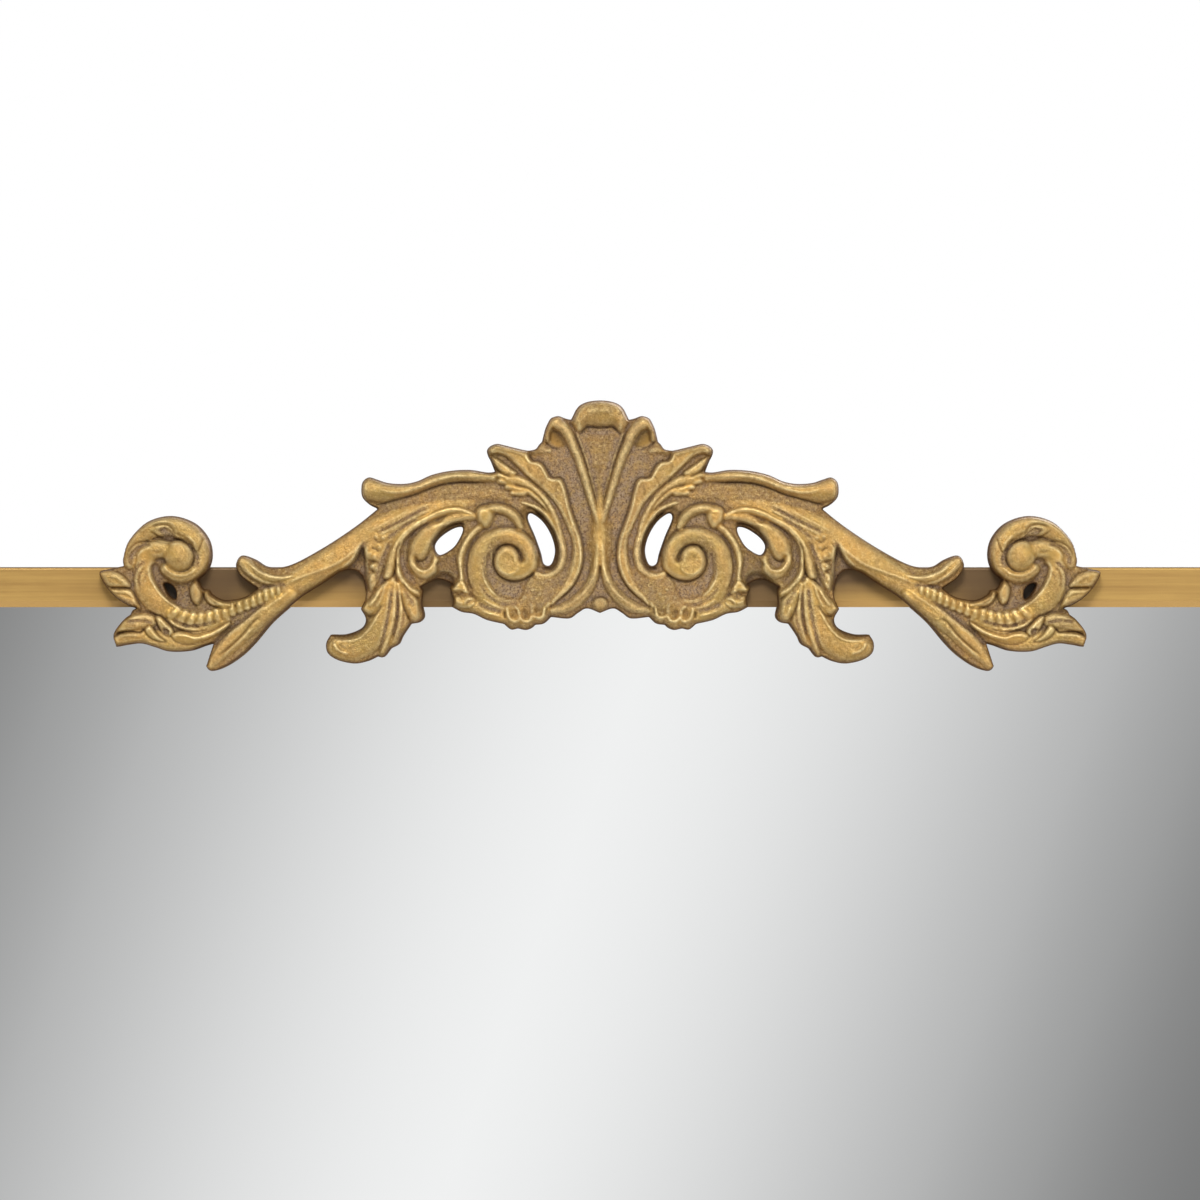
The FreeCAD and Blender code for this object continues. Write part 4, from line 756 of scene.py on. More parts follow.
band([(600, 605), (604, 605)], 7.8, 3.4, foot=0.6, profile=dome)
furrow([(591, 601.5), (594.5, 598), (600, 596.6)], 1.4, 0.6, dark=0.85, ends=(0.2, 0))
carved("palmette")

# %% [markdown]
# ## Outline of the casting
#
# The outline cuts the relief to shape. Each row of points is one smooth stretch, and rows meet in corners.
# Three openings pierce the half. The distance from the outline does two jobs: it says which grid points are
# metal, and it rounds the relief off towards its edge, as a casting leaves its mould.

# %% Relief: outline
OUTLINE = (
    # Cap, rib and side leaf
    ((600, 400.5), (593, 401), (586, 402.5), (580, 405.5), (576, 410), (573, 416), (571, 420)),
    ((571, 420), (565, 418.5), (560, 416.5), (556, 416.5), (551, 418.5), (548, 423), (545, 430), (542, 442)),
    ((542, 442), (539, 445), (536, 449), (531, 450.5), (526, 450.5), (513, 447.5), (505, 445.5), (498, 444),
     (493, 445), (489, 447.5), (487, 451), (488, 456), (491, 462), (495, 472)),
    # Lip, stem and bud
    ((495, 472), (487, 472.5), (470, 470), (450, 471), (432, 475), (417, 481.5), (403, 484), (388, 483),
     (377, 479.5), (369, 477.5), (363, 482), (361.5, 490), (363, 498), (370, 505), (378, 509)),
    ((378, 509), (360, 523.5), (340, 537.5), (320, 550), (298, 562), (283, 567), (268, 566.5), (257, 560),
     (245, 555.5), (239, 558), (236.5, 567), (243, 578), (258, 588.5)),
    # Spine and end scroll
    ((258, 588.5), (245, 597), (226, 600), (214, 595), (210, 590), (204, 588.5), (199, 580)),
    ((199, 580), (209, 570), (213, 555), (209, 538), (195, 523), (172, 516), (148, 522), (130, 540),
     (124, 557), (124, 566)),
    # Small leaf, low leaf and spear
    ((124, 566), (110, 569), (103, 570.5), (100, 574), (106, 586), (117, 598), (130, 606), (137, 608)),
    ((137, 608), (133, 610.5), (131, 614.5)),
    ((131, 614.5), (126, 618), (122, 622)),
    ((122, 622), (116, 630), (114, 637), (117, 647)),
    ((117, 647), (127, 645), (142, 643.5), (155, 647), (170, 651.5), (190, 651), (205, 646), (214, 643.5)),
    ((214, 643.5), (208, 662), (207, 667), (213, 671), (227, 666), (243, 655), (256, 642), (272, 623),
     (291, 606), (303, 596)),
    # Leaf drop
    ((303, 596), (311, 591), (320, 585.5), (330, 579), (339, 573), (347, 570)),
    ((347, 570), (356, 570.5), (362, 576), (365, 585), (366, 597), (361, 609)),
    ((361, 609), (366, 619), (362, 628), (347, 634), (331, 634.5)),
    ((331, 634.5), (326.5, 643), (328, 653), (338, 660), (354, 663.5), (367, 661.5), (378, 656.5)),
    ((378, 656.5), (384, 657), (391, 648.5)),
    ((391, 648.5), (399, 644), (403, 636), (411, 624)),
    ((411, 624), (420, 622), (424.5, 616), (422.5, 604), (423.5, 591), (421.5, 587)),
    # Web, skirt and foot of the palmette
    ((421.5, 587), (428, 583.5), (434, 580.5), (439, 579.5), (445, 580.5), (452, 584)),
    ((452, 584), (450, 588), (453, 597), (453, 603), (452, 607)),
    ((452, 607), (462, 612), (474, 614), (487, 620), (504, 624)),
    ((504, 624), (511, 629.5), (518, 628.5)),
    ((518, 628.5), (526, 630), (532, 628), (535, 625)),
    ((535, 625), (544, 623.5), (551, 617)),
    ((551, 617), (569, 618.5), (578, 613), (587, 608.5), (600, 613)),
)
OPENINGS = (
    ((461, 527), (463, 530), (460, 538), (453, 548), (440, 555), (435, 547), (440, 538), (452, 529.5)),
    ((531, 513.5), (528, 519), (535, 536), (541, 553), (544, 564), (551, 564.5), (555, 551), (551, 535),
     (542, 521)),
    ((165, 584), (170, 584), (175, 588), (177, 594), (176, 599), (171, 596), (167, 590)),
)
PAST_MIDDLE = 40

whole = np.s_[:, :]
rim = [smooth_line(row)[:-1] for row in OUTLINE]
foot, top = np.array(OUTLINE[-1][-1]), np.array(OUTLINE[0][0])
rim_line = np.vstack(rim + [foot, foot + (PAST_MIDDLE, 0), top + (PAST_MIDDLE, 0)])
edge_depth = inside_depth(rim_line, whole)
for opening in OPENINGS:
    edge_depth = np.minimum(edge_depth, -inside_depth(smooth_line(opening, closed=True), whole))
print(f"metal covers {np.mean(edge_depth > 0):.0%} of the grid")

# %% [markdown]
# A light blur softens the tool marks, as a cast and gilded surface would show them. Seeded noise of three
# sizes makes it slightly uneven, and a shoulder rounds it off towards the edge.

# %% Relief: soften and round off
GROUND = 10.5
TOOL_BLUR = 0.6
CAST_MARKS = ((0.8, 0.02), (2.2, 0.05), (5.0, 0.1))
EDGE_HEIGHT, EDGE_RISE, EDGE_ROUNDING = 3.0, 19.0, 16.0


def blurred(field, radius):
    """Gaussian blur over the grid."""
    reach = np.arange(-int(3 * radius + 1), int(3 * radius + 1) + 1)
    weights = np.exp(-0.5 * (reach / radius) ** 2)
    weights /= weights.sum()
    for axis in (0, 1):
        margins = [(len(reach) // 2,) * 2 if axis == way else (0, 0) for way in (0, 1)]
        padded = np.pad(field, margins, mode="edge")
        field = sum(weight * np.take(padded, np.arange(field.shape[axis]) + step, axis)
                    for step, weight in enumerate(weights))
    return field


cast = np.random.default_rng(7)
uneven = sum(lift * blurred(cast.standard_normal(relief.shape), radius) * 2 * radius * math.sqrt(math.pi)
             for radius, lift in CAST_MARKS)
shoulder = EDGE_HEIGHT + EDGE_RISE * dome(1 - np.clip(edge_depth / EDGE_ROUNDING, 0, 1))
height = np.minimum(GROUND + blurred(relief, TOOL_BLUR) + uneven, shoulder)
print(f"relief from {height[edge_depth > 0].min():.1f} to {height[edge_depth > 0].max():.1f} mm")

# %% [markdown]
# The gilder's work follows the relief, and so does the painted light. The difference between it and a blurred
# copy tells hollow from raised: dirt gathers and shade is painted where the relief lies below its surroundings,
# and the gold is painted pale, for wear and as a highlight, where it stands proud. Four maps come out of this:
# the veil of glaze, the dark creases of dirt and painted shade, the pale gold of wear and painted highlight,
# and the brown rim along the casting's edge, a thin dark line at the edge and a wider band of painted shade.

# %% Relief: find the hollows
FINE_BLUR, BROAD_BLUR = 1.4, 5.0
GLAZE_BLUR, DIRT_AND_SHADE_BLUR = 1.1, 0.5

fine_hollow = blurred(height, FINE_BLUR) - height
broad_hollow = blurred(height, BROAD_BLUR) - height
# Painted shade: a brown band about nine pixels wide inside the outline, besides a thin dark line at the edge.
rim_dirt_and_shade = np.maximum(1 - ease(0.5, 3.0, edge_depth), 0.24 * (1 - ease(2.5, 9.0, edge_depth)))
veil = np.clip(blurred(glaze, GLAZE_BLUR) + np.clip(0.2 * broad_hollow, 0, 0.4), 0, 1)
# Painted shade: hollows are darkened as shade would fall in them.
hollow_shade = 0.55 * np.clip(fine_hollow / 0.6 - 0.1, 0, 1) + 0.3 * np.clip(broad_hollow / 1.6 - 0.1, 0, 1)
crease = np.clip(0.85 * blurred(dirt_and_shade_marks, DIRT_AND_SHADE_BLUR) + hollow_shade * (1 - 0.85 * veil), 0, 1)
# Painted highlight: proud ridges are painted pale, for wear and as a highlight.
wear_and_highlight = np.clip(-fine_hollow / 0.45 - 0.1, 0, 1) * ease(2.5, 6, edge_depth)
print(f"glaze on {np.mean(veil[edge_depth > 0] > 0.5):.0%} of the metal")

# %% [markdown]
# ## From the grid to a mesh
#
# Whole grid cells become quads. Cells that the outline crosses are clipped where the distance is zero, so
# the edge is clean instead of stepped. Each clipped edge gets a wall down to the casting's flat back, which
# is filled at the end. The right half reuses the same faces with its points mirrored, and both halves share
# the points on the middle line.

# %% Build the crest's mesh
# Points on the outline carry the full brown rim, which is partly painted shade, with some glaze and dark
# crease.
EDGE_TINT = (0.3, 0.3, 0.0, 1.0)

metal = edge_depth > 0
number = np.full(height.shape, -1)
number[metal] = np.arange(metal.sum())
points = list(zip(ACROSS[metal], DOWN[metal], height[metal]))
tints = list(zip(veil[metal], crease[metal], wear_and_highlight[metal], rim_dirt_and_shade[metal]))
whole_cells = metal[:-1, :-1] & metal[:-1, 1:] & metal[1:, :-1] & metal[1:, 1:]
some_cells = metal[:-1, :-1] | metal[:-1, 1:] | metal[1:, :-1] | metal[1:, 1:]
at_row, at_column = np.nonzero(whole_cells)
faces = np.stack([number[at_row, at_column], number[at_row + 1, at_column],
                  number[at_row + 1, at_column + 1], number[at_row, at_column + 1]], 1).tolist()
crossings = {}
walls = []


def crossing(first, second):
    """Point where the outline crosses the grid line between two neighbours."""
    key = (min(first, second), max(first, second))
    if key not in crossings:
        near, far = edge_depth[first], edge_depth[second]
        share = near / (near - far)
        crossings[key] = len(points)
        points.append((ACROSS[first] + share * (ACROSS[second] - ACROSS[first]),
                       DOWN[first] + share * (DOWN[second] - DOWN[first]), EDGE_HEIGHT))
        tints.append(EDGE_TINT)
    return crossings[key]


for row, column in zip(*np.nonzero(some_cells & ~whole_cells)):
    corners = [(row, column), (row + 1, column), (row + 1, column + 1), (row, column + 1)]
    face, cuts = [], []
    for here, after in zip(corners, corners[1:] + corners[:1]):
        if metal[here]:
            face.append(int(number[here]))
        if metal[here] != metal[after]:
            face.append(crossing(here, after))
            cuts.append((face[-1], metal[here]))
    faces.append(face)
    if len(cuts) == 2:
        start, end = [cut[0] for cut in sorted(cuts, key=lambda cut: not cut[1])]
        walls.append((start, end))
print(len(faces), "front faces and", len(walls), "wall faces in the left half")

# %% [markdown]
# A modifier could mirror the half too, but the points are at hand, so they are copied across the middle. The
# walls end on the flat back, where the casting is screwed against the rail, and a fill closes it there. The
# four maps travel with the points as one colour layer.

# %% Mirror the half and close the back
BACK_TINT = (0.6, 0.1, 0.0, 0.3)
SHARP_ANGLE = math.radians(80)
ON_BACK = 1e-6

left_count = len(points)
drawn = np.array(points)
tinted = np.array(tints)
on_middle = np.isclose(drawn[:, 0], MIDDLE_PX)
twin = np.arange(left_count)
twin[~on_middle] = left_count + np.arange((~on_middle).sum())
drawn = np.vstack([drawn, drawn[~on_middle] * (-1, 1, 1) + (2 * MIDDLE_PX, 0, 0)])
tinted = np.vstack([tinted, tinted[~on_middle]])
all_faces = faces + [[int(twin[point]) for point in reversed(face)] for face in faces]
all_walls = walls + [(int(twin[end]), int(twin[start])) for start, end in walls]

rim_points = sorted({point for wall in all_walls for point in wall})
behind = {point: len(drawn) + order for order, point in enumerate(rim_points)}
drawn = np.vstack([drawn, drawn[rim_points] * (1, 1, 0)])
tinted = np.vstack([tinted, np.tile(BACK_TINT, (len(rim_points), 1))])
all_faces += [[end, start, behind[start], behind[end]] for start, end in all_walls]

places = np.stack([(drawn[:, 0] - MIDDLE_PX) * PIXEL, CREST_BACK - drawn[:, 2] / 1000,
                   rail_high.z + (RAIL_TOP_PX - drawn[:, 1]) * PIXEL], 1)
crest_mesh = bpy.data.meshes.new("crest_relief")
crest_mesh.from_pydata(places.tolist(), [], all_faces)
finish_tint = crest_mesh.color_attributes.new("finish", "FLOAT_COLOR", "POINT")
finish_tint.data.foreach_set("color", tinted.ravel())

work = bmesh.new()
work.from_mesh(crest_mesh)
back_rim = [edge for edge in work.edges
            if edge.is_boundary and all(abs(end.co.y - CREST_BACK) < ON_BACK for end in edge.verts)]
bmesh.ops.triangle_fill(work, edges=back_rim, use_beauty=True, normal=(0, 1, 0))
bmesh.ops.recalc_face_normals(work, faces=work.faces)
for face in work.faces:
    face.smooth = True
work.to_mesh(crest_mesh)
open_edges = sum(edge.is_boundary for edge in work.edges)
triangles = sum(len(face.verts) - 2 for face in work.faces)
work.free()
crest_mesh.set_sharp_from_angle(angle=SHARP_ANGLE)
crest = bpy.data.objects.new("crest_relief", crest_mesh)
bpy.context.scene.collection.objects.link(crest)
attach(crest, "frame")
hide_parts("crest_casting")
print(f"crest: {triangles} triangles, {open_edges} open edges")

# %% [markdown]
# ## Finishes
#
# Each finish is a node material. A small helper starts one with a shader whose constant values are set on
# its own sockets, and others add noise in object space, mix colours by a mask, and turn noise into a bump.
# Object space is metres here, so a noise scale of 1000 makes grains about a millimetre across.

# %% Material helpers
def srgb(red, green, blue):
    """Linear colour from a paint chip's 0 to 255 values."""
    chip = [value / 255 for value in (red, green, blue)]
    return tuple(v / 12.92 if v <= 0.04045 else ((v + 0.055) / 1.055) ** 2.4 for v in chip) + (1.0,)


def new_finish(name, **values):
    """Material with one principled shader, and the values set on its sockets."""
    material = bpy.data.materials.new(name)
    material.use_nodes = True
    shader = material.node_tree.nodes["Principled BSDF"]
    for socket, value in values.items():
        shader.inputs[socket.replace("_", " ")].default_value = value
    return material, material.node_tree, shader


def grain(tree, scale, stretch=(1, 1, 1), detail=4.0, roughness=0.6):
    """Noise in object space."""
    place = tree.nodes.new("ShaderNodeTexCoord")
    turn = tree.nodes.new("ShaderNodeMapping")
    turn.inputs["Scale"].default_value = stretch
    noise = tree.nodes.new("ShaderNodeTexNoise")
    noise.inputs["Scale"].default_value = scale
    noise.inputs["Detail"].default_value = detail
    noise.inputs["Roughness"].default_value = roughness
    tree.links.new(place.outputs["Object"], turn.inputs["Vector"])
    tree.links.new(turn.outputs["Vector"], noise.inputs["Vector"])
    return noise.outputs["Fac"]


def remap(tree, value, low, high, to_low=0.0, to_high=1.0):
    """Value stretched from one range to another and clamped."""
    node = tree.nodes.new("ShaderNodeMapRange")
    for socket, number in zip(("From Min", "From Max", "To Min", "To Max"), (low, high, to_low, to_high)):
        node.inputs[socket].default_value = number
    tree.links.new(value, node.inputs["Value"])
    return node.outputs["Result"]


def combine(tree, kind, first, second=0.0):
    """Two values added, subtracted or otherwise combined."""
    node = tree.nodes.new("ShaderNodeMath")
    node.operation = kind
    for socket, value in zip(node.inputs, (first, second)):
        if isinstance(value, (int, float)):
            socket.default_value = value
        else:
            tree.links.new(value, socket)
    return node.outputs["Value"]


def times(tree, first, second):
    """Two values multiplied."""
    return combine(tree, "MULTIPLY", first, second)


def apart(tree, value, middle):
    """How far a value lies from another, either way."""
    return combine(tree, "ABSOLUTE", combine(tree, "SUBTRACT", value, middle))


def blend(tree, mask, first, second):
    """Two colours mixed by a mask."""
    node = tree.nodes.new("ShaderNodeMix")
    node.data_type = "RGBA"
    tree.links.new(mask, node.inputs["Factor"])
    for socket, colour in zip((node.inputs[6], node.inputs[7]), (first, second)):
        if isinstance(colour, tuple):
            socket.default_value = colour
        else:
            tree.links.new(colour, socket)
    return node.outputs[2]


def bump(tree, shader, value, strength, distance):
    """Fine surface relief from a value."""
    node = tree.nodes.new("ShaderNodeBump")
    node.inputs["Strength"].default_value = strength
    node.inputs["Distance"].default_value = distance
    tree.links.new(value, node.inputs["Height"])
    tree.links.new(node.outputs["Normal"], shader.inputs["Normal"])


print("mid grey on a paint chip is", round(srgb(128, 128, 128)[0], 3), "in linear light")

# %% [markdown]
# ### Antique gold of the crest
#
# The casting is gilded, coated with a taupe glaze that stays in the hollows, and wiped back so the raised parts
# show their gold. The four maps made with the relief drive that: glaze, dirt with painted shade in the creases,
# wear with a painted highlight on the ridges, and the brown rim, partly painted shade. Noise of several sizes
# breaks them up, bright and dark grains make the sunk grounds sandy, partly as painted glints and painted
# shade, and the glaze turns pale as dust where it lies thickest. Where glaze, dirt or painted shade covers the
# gold, the surface is dull.

# %% Colours of the crest
GOLD_OLIVE = srgb(173, 142, 76)
GOLD_WARM = srgb(192, 148, 76)
GOLD_DEEP = srgb(132, 97, 42)
# Pale gold of wear, and painted highlight on the ridges.
GOLD_WEAR_AND_HIGHLIGHT = srgb(244, 220, 160)
# Brown of the rim: a thin dark edge line and a wider painted shade.
RIM_BROWN = srgb(96, 60, 24)
GLAZE_TAUPE = srgb(184, 160, 136)
GLAZE_DARK = srgb(122, 96, 72)
GLAZE_DUST = srgb(206, 180, 150)
# Dark brown of dirt in the creases and of painted shade in the hollows.
DIRT_AND_SHADE = srgb(64, 40, 16)
# Grains: gilt flecks and pits, with painted glints and painted shade.
GRAIN_FLECK_AND_GLINT = srgb(226, 196, 134)
GRAIN_PIT_AND_SHADE = srgb(108, 80, 42)
CLOUD_SCALE, MOTTLE_SCALE, GRAVEL_SCALE, SAND_SCALE = 45, 280, 620, 1150


def gold_leaf(tree, wear_and_highlight_map, mottle):
    """Gold in two shades, deeper in small spots and pale where it wears and where a highlight is painted."""
    cloud = grain(tree, CLOUD_SCALE)
    gold = blend(tree, remap(tree, cloud, 0.38, 0.62), GOLD_OLIVE, GOLD_WARM)
    gold = blend(tree, remap(tree, mottle, 0.36, 0.56, 0.18, 0.0), gold, GOLD_DEEP)
    wear_and_highlight_mask = times(tree, wear_and_highlight_map, remap(tree, mottle, 0.4, 0.6, 0.5, 1.0))
    return blend(tree, wear_and_highlight_mask, gold, GOLD_WEAR_AND_HIGHLIGHT)


def glaze_wash(tree, veil_map, sand):
    """Taupe glaze, dusty where it lies thickest and dark between the grains of sand."""
    pale = blend(tree, remap(tree, veil_map, 0.82, 1.0, 0.0, 0.5), GLAZE_TAUPE, GLAZE_DUST)
    return blend(tree, remap(tree, sand, 0.34, 0.64), GLAZE_DARK, pale)


def gravelled(tree, colour, veil_map):
    """Bright and dark grains on the sunk grounds, gilt flecks and pits with painted glints and painted shade,
    fewer where the glaze lies thick.
    """
    gravel = grain(tree, GRAVEL_SCALE, detail=3, roughness=0.7)
    sandy = times(tree, remap(tree, veil_map, 0.06, 0.35), remap(tree, veil_map, 0.55, 0.9, 1.0, 0.4))
    bright = times(tree, sandy, remap(tree, gravel, 0.54, 0.66, 0.0, 0.6))
    dark = times(tree, sandy, remap(tree, gravel, 0.46, 0.36, 0.0, 0.42))
    return blend(tree, dark, blend(tree, bright, colour, GRAIN_FLECK_AND_GLINT), GRAIN_PIT_AND_SHADE)


print("noise on the crest: scales", CLOUD_SCALE, MOTTLE_SCALE, GRAVEL_SCALE, SAND_SCALE)

# %% Crest finish
def crest_gold():
    """Antique gold with glaze, gravel and a brown rim, with dirt and painted shade in the creases and a painted
    highlight on the ridges.
    """
    material, tree, shader = new_finish("antique_gold", Specular_IOR_Level=0.15)
    maps = tree.nodes.new("ShaderNodeVertexColor")
    maps.layer_name = "finish"
    split = tree.nodes.new("ShaderNodeSeparateColor")
    tree.links.new(maps.outputs["Color"], split.inputs["Color"])
    veil_map, crease_map, wear_and_highlight_map = split.outputs
    rim_dirt_and_shade_map = maps.outputs["Alpha"]
    mottle = grain(tree, MOTTLE_SCALE, detail=5, roughness=0.65)
    sand = grain(tree, SAND_SCALE, detail=2, roughness=0.7)
    worn_grain = combine(tree, "ADD", times(tree, sand, 0.45), times(tree, mottle, 0.55))
    wear_and_shade_gap = combine(tree, "SUBTRACT", 1.0, remap(tree, worn_grain, 0.45, 0.6, 0.0, 0.6))
    patchy = times(tree, veil_map, wear_and_shade_gap)
    colour = blend(tree, patchy, gold_leaf(tree, wear_and_highlight_map, mottle), glaze_wash(tree, veil_map, sand))
    colour = gravelled(tree, colour, veil_map)
    # Brown rim along the edge, partly painted shade.
    colour = blend(tree, times(tree, rim_dirt_and_shade_map, 0.9), colour, RIM_BROWN)
    # Dark creases: dirt and painted shade.
    colour = blend(tree, crease_map, colour, DIRT_AND_SHADE)
    tree.links.new(colour, shader.inputs["Base Color"])
    dull = combine(tree, "MAXIMUM", patchy, combine(tree, "MAXIMUM", rim_dirt_and_shade_map, crease_map))
    tree.links.new(remap(tree, dull, 0, 1, 0.78, 0.05), shader.inputs["Metallic"])
    tree.links.new(remap(tree, dull, 0, 1, 0.32, 0.8), shader.inputs["Roughness"])
    sanded = times(tree, sand, remap(tree, veil_map, 0, 0.6, 0.08, 1.0))
    pitted = times(tree, mottle, remap(tree, veil_map, 0.1, 0.6, 0.08, 0.5))
    bump(tree, shader, combine(tree, "ADD", sanded, pitted), 0.9, 0.0011)
    return material


crest.data.materials.append(crest_gold())
print(crest.data.materials[0].name, "on", crest.name)

# %% [markdown]
# ### Satin gilding of the frame
#
# The moulding is gilded flat and brushed along its length, so its grain is noise stretched along the run.
# Rails run along X and stiles along Z, and each gets its own direction. The top rail has more to tell: painted
# light on the downward-facing strip along the glass, a dark line on its upper edge, and behind the crest a
# brown painted shade of the crest, lighter low down in one stretch, with a darker painted shade behind each end
# scroll.
# Both painted shades lie on the front only.

# %% Colours of the frame
RAIL_GOLD = srgb(192, 154, 83)
RAIL_GOLD_DEEP = srgb(168, 129, 68)
# Painted shade: the crest's shade on the rail behind it, lighter low down in one stretch.
RAIL_PAINTED_SHADE = srgb(94, 70, 43)
SHADE_GAP_AT, SHADE_GAP_WIDE = 0.132, 0.045
# Painted light: the strip along the glass faces down and would fall into shade, so it is painted lighter.
SIGHT_PAINTED_LIGHT = srgb(200, 158, 91)
SIGHT_WIDE, SIGHT_FADE = 0.0033, 0.0006
ARRIS_BROWN = srgb(96, 70, 32)
ARRIS_WIDE = 0.0007
# Painted shade behind each end scroll, seen through its small opening.
SCROLL_SHADE = srgb(40, 29, 18)
SCROLL_AT = 0.204
CREST_REACH = crest_high.x


def place_axes(tree):
    """Place in object space, as X, Y and Z."""
    place = tree.nodes.new("ShaderNodeTexCoord")
    axes = tree.nodes.new("ShaderNodeSeparateXYZ")
    tree.links.new(place.outputs["Object"], axes.inputs["Vector"])
    return axes.outputs["X"], axes.outputs["Y"], axes.outputs["Z"]


def edge_lines(tree, colour, up, front):
    """Painted light on the downward-facing strip along the glass, and a dark line on the rail's upper edge."""
    sight = remap(tree, up, rail_low.z + SIGHT_WIDE, rail_low.z + SIGHT_WIDE - SIGHT_FADE)
    arris = remap(tree, up, rail_high.z - ARRIS_WIDE, rail_high.z - 0.4 * ARRIS_WIDE, 0, 0.8)
    colour = blend(tree, sight, colour, SIGHT_PAINTED_LIGHT)
    return blend(tree, times(tree, arris, front), colour, ARRIS_BROWN)


def paint_shade_behind_crest(tree, colour, off_middle, up, front, cloud):
    """Brown painted shade of the crest on the rail, lighter low down in one stretch, and darker painted shade
    behind the end scrolls.
    """
    ragged = combine(tree, "ADD", off_middle, times(tree, cloud, 0.02))
    # Painted shade of the crest on the rail's front face.
    painted_shade = remap(tree, ragged, CREST_REACH + 0.004, CREST_REACH - 0.03, 0, 0.9)
    wear_and_shade_gap = remap(tree, apart(tree, off_middle, SHADE_GAP_AT), 0.4 * SHADE_GAP_WIDE, SHADE_GAP_WIDE, 1.0, 0.15)
    slope = combine(tree, "ADD", up, times(tree, cloud, 0.012))
    low = remap(tree, slope, rail_low.z + 0.45 * (rail_high.z - rail_low.z), rail_high.z, 1.0, 0.0)
    kept = times(tree, combine(tree, "SUBTRACT", 1.0, times(tree, wear_and_shade_gap, low)), front)
    colour = blend(tree, times(tree, painted_shade, kept), colour, RAIL_PAINTED_SHADE)
    shade = remap(tree, apart(tree, off_middle, SCROLL_AT), 0.005, 0.014, 0.9, 0)
    return blend(tree, times(tree, shade, front), colour, SCROLL_SHADE)


print(f"wash on the top rail up to {CREST_REACH * 1000:.0f} mm from the middle")

# %% Frame finish
def satin_gilding(name, along_x, shade_painted=False):
    """Gilding brushed along a rail or a stile; the one with painted shade is the rail behind the crest."""
    material, tree, shader = new_finish(name, Metallic=0.35, Specular_IOR_Level=0.45)
    brushed = grain(tree, 1.5, (6, 90, 300) if along_x else (300, 90, 6), detail=6)
    cloud = grain(tree, 25, detail=3)
    tone = combine(tree, "ADD", brushed, times(tree, cloud, 0.4))
    colour = blend(tree, remap(tree, tone, 0.5, 0.95), RAIL_GOLD_DEEP, RAIL_GOLD)
    if shade_painted:
        across, deep, up = place_axes(tree)
        front = remap(tree, deep, rail_low.y + 0.01, rail_low.y + 0.006)
        colour = edge_lines(tree, colour, up, front)
        colour = paint_shade_behind_crest(tree, colour, apart(tree, across, 0.0), up, front, cloud)
    tree.links.new(colour, shader.inputs["Base Color"])
    tree.links.new(remap(tree, brushed, 0.3, 0.7, 0.36, 0.5), shader.inputs["Roughness"])
    bump(tree, shader, brushed, 0.15, 0.0002)
    return material


def coat(material, *node_names):
    """Give solid nodes a finish."""
    for node_name in node_names:
        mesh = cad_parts[node_name].data
        mesh.materials.clear()
        mesh.materials.append(material)
    print(material.name, "on", ", ".join(node_names))


coat(satin_gilding("top_rail_gilding", True, shade_painted=True), "top_rail")
coat(satin_gilding("bottom_rail_gilding", True), "bottom_rail")
coat(satin_gilding("stile_gilding", False), "left_stile", "right_stile")

# %% [markdown]
# ### Mirror
#
# The glass is silvered on its back, so a metal shader stands for it: bright and almost smooth, with the
# faintest waviness. A layer of clear glass over silver could be built too, but nothing of it would show.

# %% Mirror finish
def silvered_glass():
    """Bright mirror with a faint waviness."""
    material, tree, shader = new_finish("silvered_glass", Base_Color=srgb(250, 251, 251), Metallic=1.0)
    wave = grain(tree, 6, detail=1)
    tree.links.new(remap(tree, wave, 0.3, 0.7, 0.004, 0.012), shader.inputs["Roughness"])
    bump(tree, shader, wave, 0.01, 0.0001)
    return material


coat(silvered_glass(), "mirror_glass")

# %% [markdown]
# ### Board, tape, steel and rubber
#
# The back is plain work: brown fibre board with long fibres, white foam tape, zinc-plated steel with a faint
# spangle and scuffs, and black rubber. Each is two shades mixed by noise, with noise as a fine bump too.

# %% Finishes of the back
def fibre_board():
    """Brown board with upright fibres and darker clouds."""
    material, tree, shader = new_finish("brown_fibre_board", Roughness=0.85, Specular_IOR_Level=0.25)
    fibres = grain(tree, 300, (1, 1, 0.35), detail=8)
    cloud = grain(tree, 14, detail=4)
    colour = blend(tree, remap(tree, fibres, 0.3, 0.7), srgb(124, 92, 62), srgb(158, 124, 88))
    colour = blend(tree, remap(tree, cloud, 0.4, 0.8, 0, 0.5), colour, srgb(112, 82, 56))
    tree.links.new(colour, shader.inputs["Base Color"])
    bump(tree, shader, fibres, 0.4, 0.0004)
    return material


def foam_tape():
    """White foam with fine cells."""
    material, tree, shader = new_finish("white_foam_tape", Roughness=0.9, Specular_IOR_Level=0.2)
    cells = grain(tree, 1800, detail=2)
    colour = blend(tree, remap(tree, cells, 0.35, 0.65), srgb(206, 204, 198), srgb(236, 234, 228))
    tree.links.new(colour, shader.inputs["Base Color"])
    bump(tree, shader, cells, 0.5, 0.0003)
    return material


def zinc_steel():
    """Bright plated steel with a spangle and scuffs."""
    material, tree, shader = new_finish("bright_zinc_steel", Metallic=1.0)
    spangle = grain(tree, 260, detail=3)
    scuffs = grain(tree, 120, (1, 1, 14), detail=5)
    colour = blend(tree, remap(tree, spangle, 0.35, 0.65), srgb(186, 190, 192), srgb(218, 220, 220))
    colour = blend(tree, remap(tree, scuffs, 0.55, 0.75, 0, 0.4), colour, srgb(150, 152, 150))
    tree.links.new(colour, shader.inputs["Base Color"])
    tree.links.new(remap(tree, spangle, 0.3, 0.7, 0.24, 0.42), shader.inputs["Roughness"])
    bump(tree, shader, scuffs, 0.12, 0.0001)
    return material


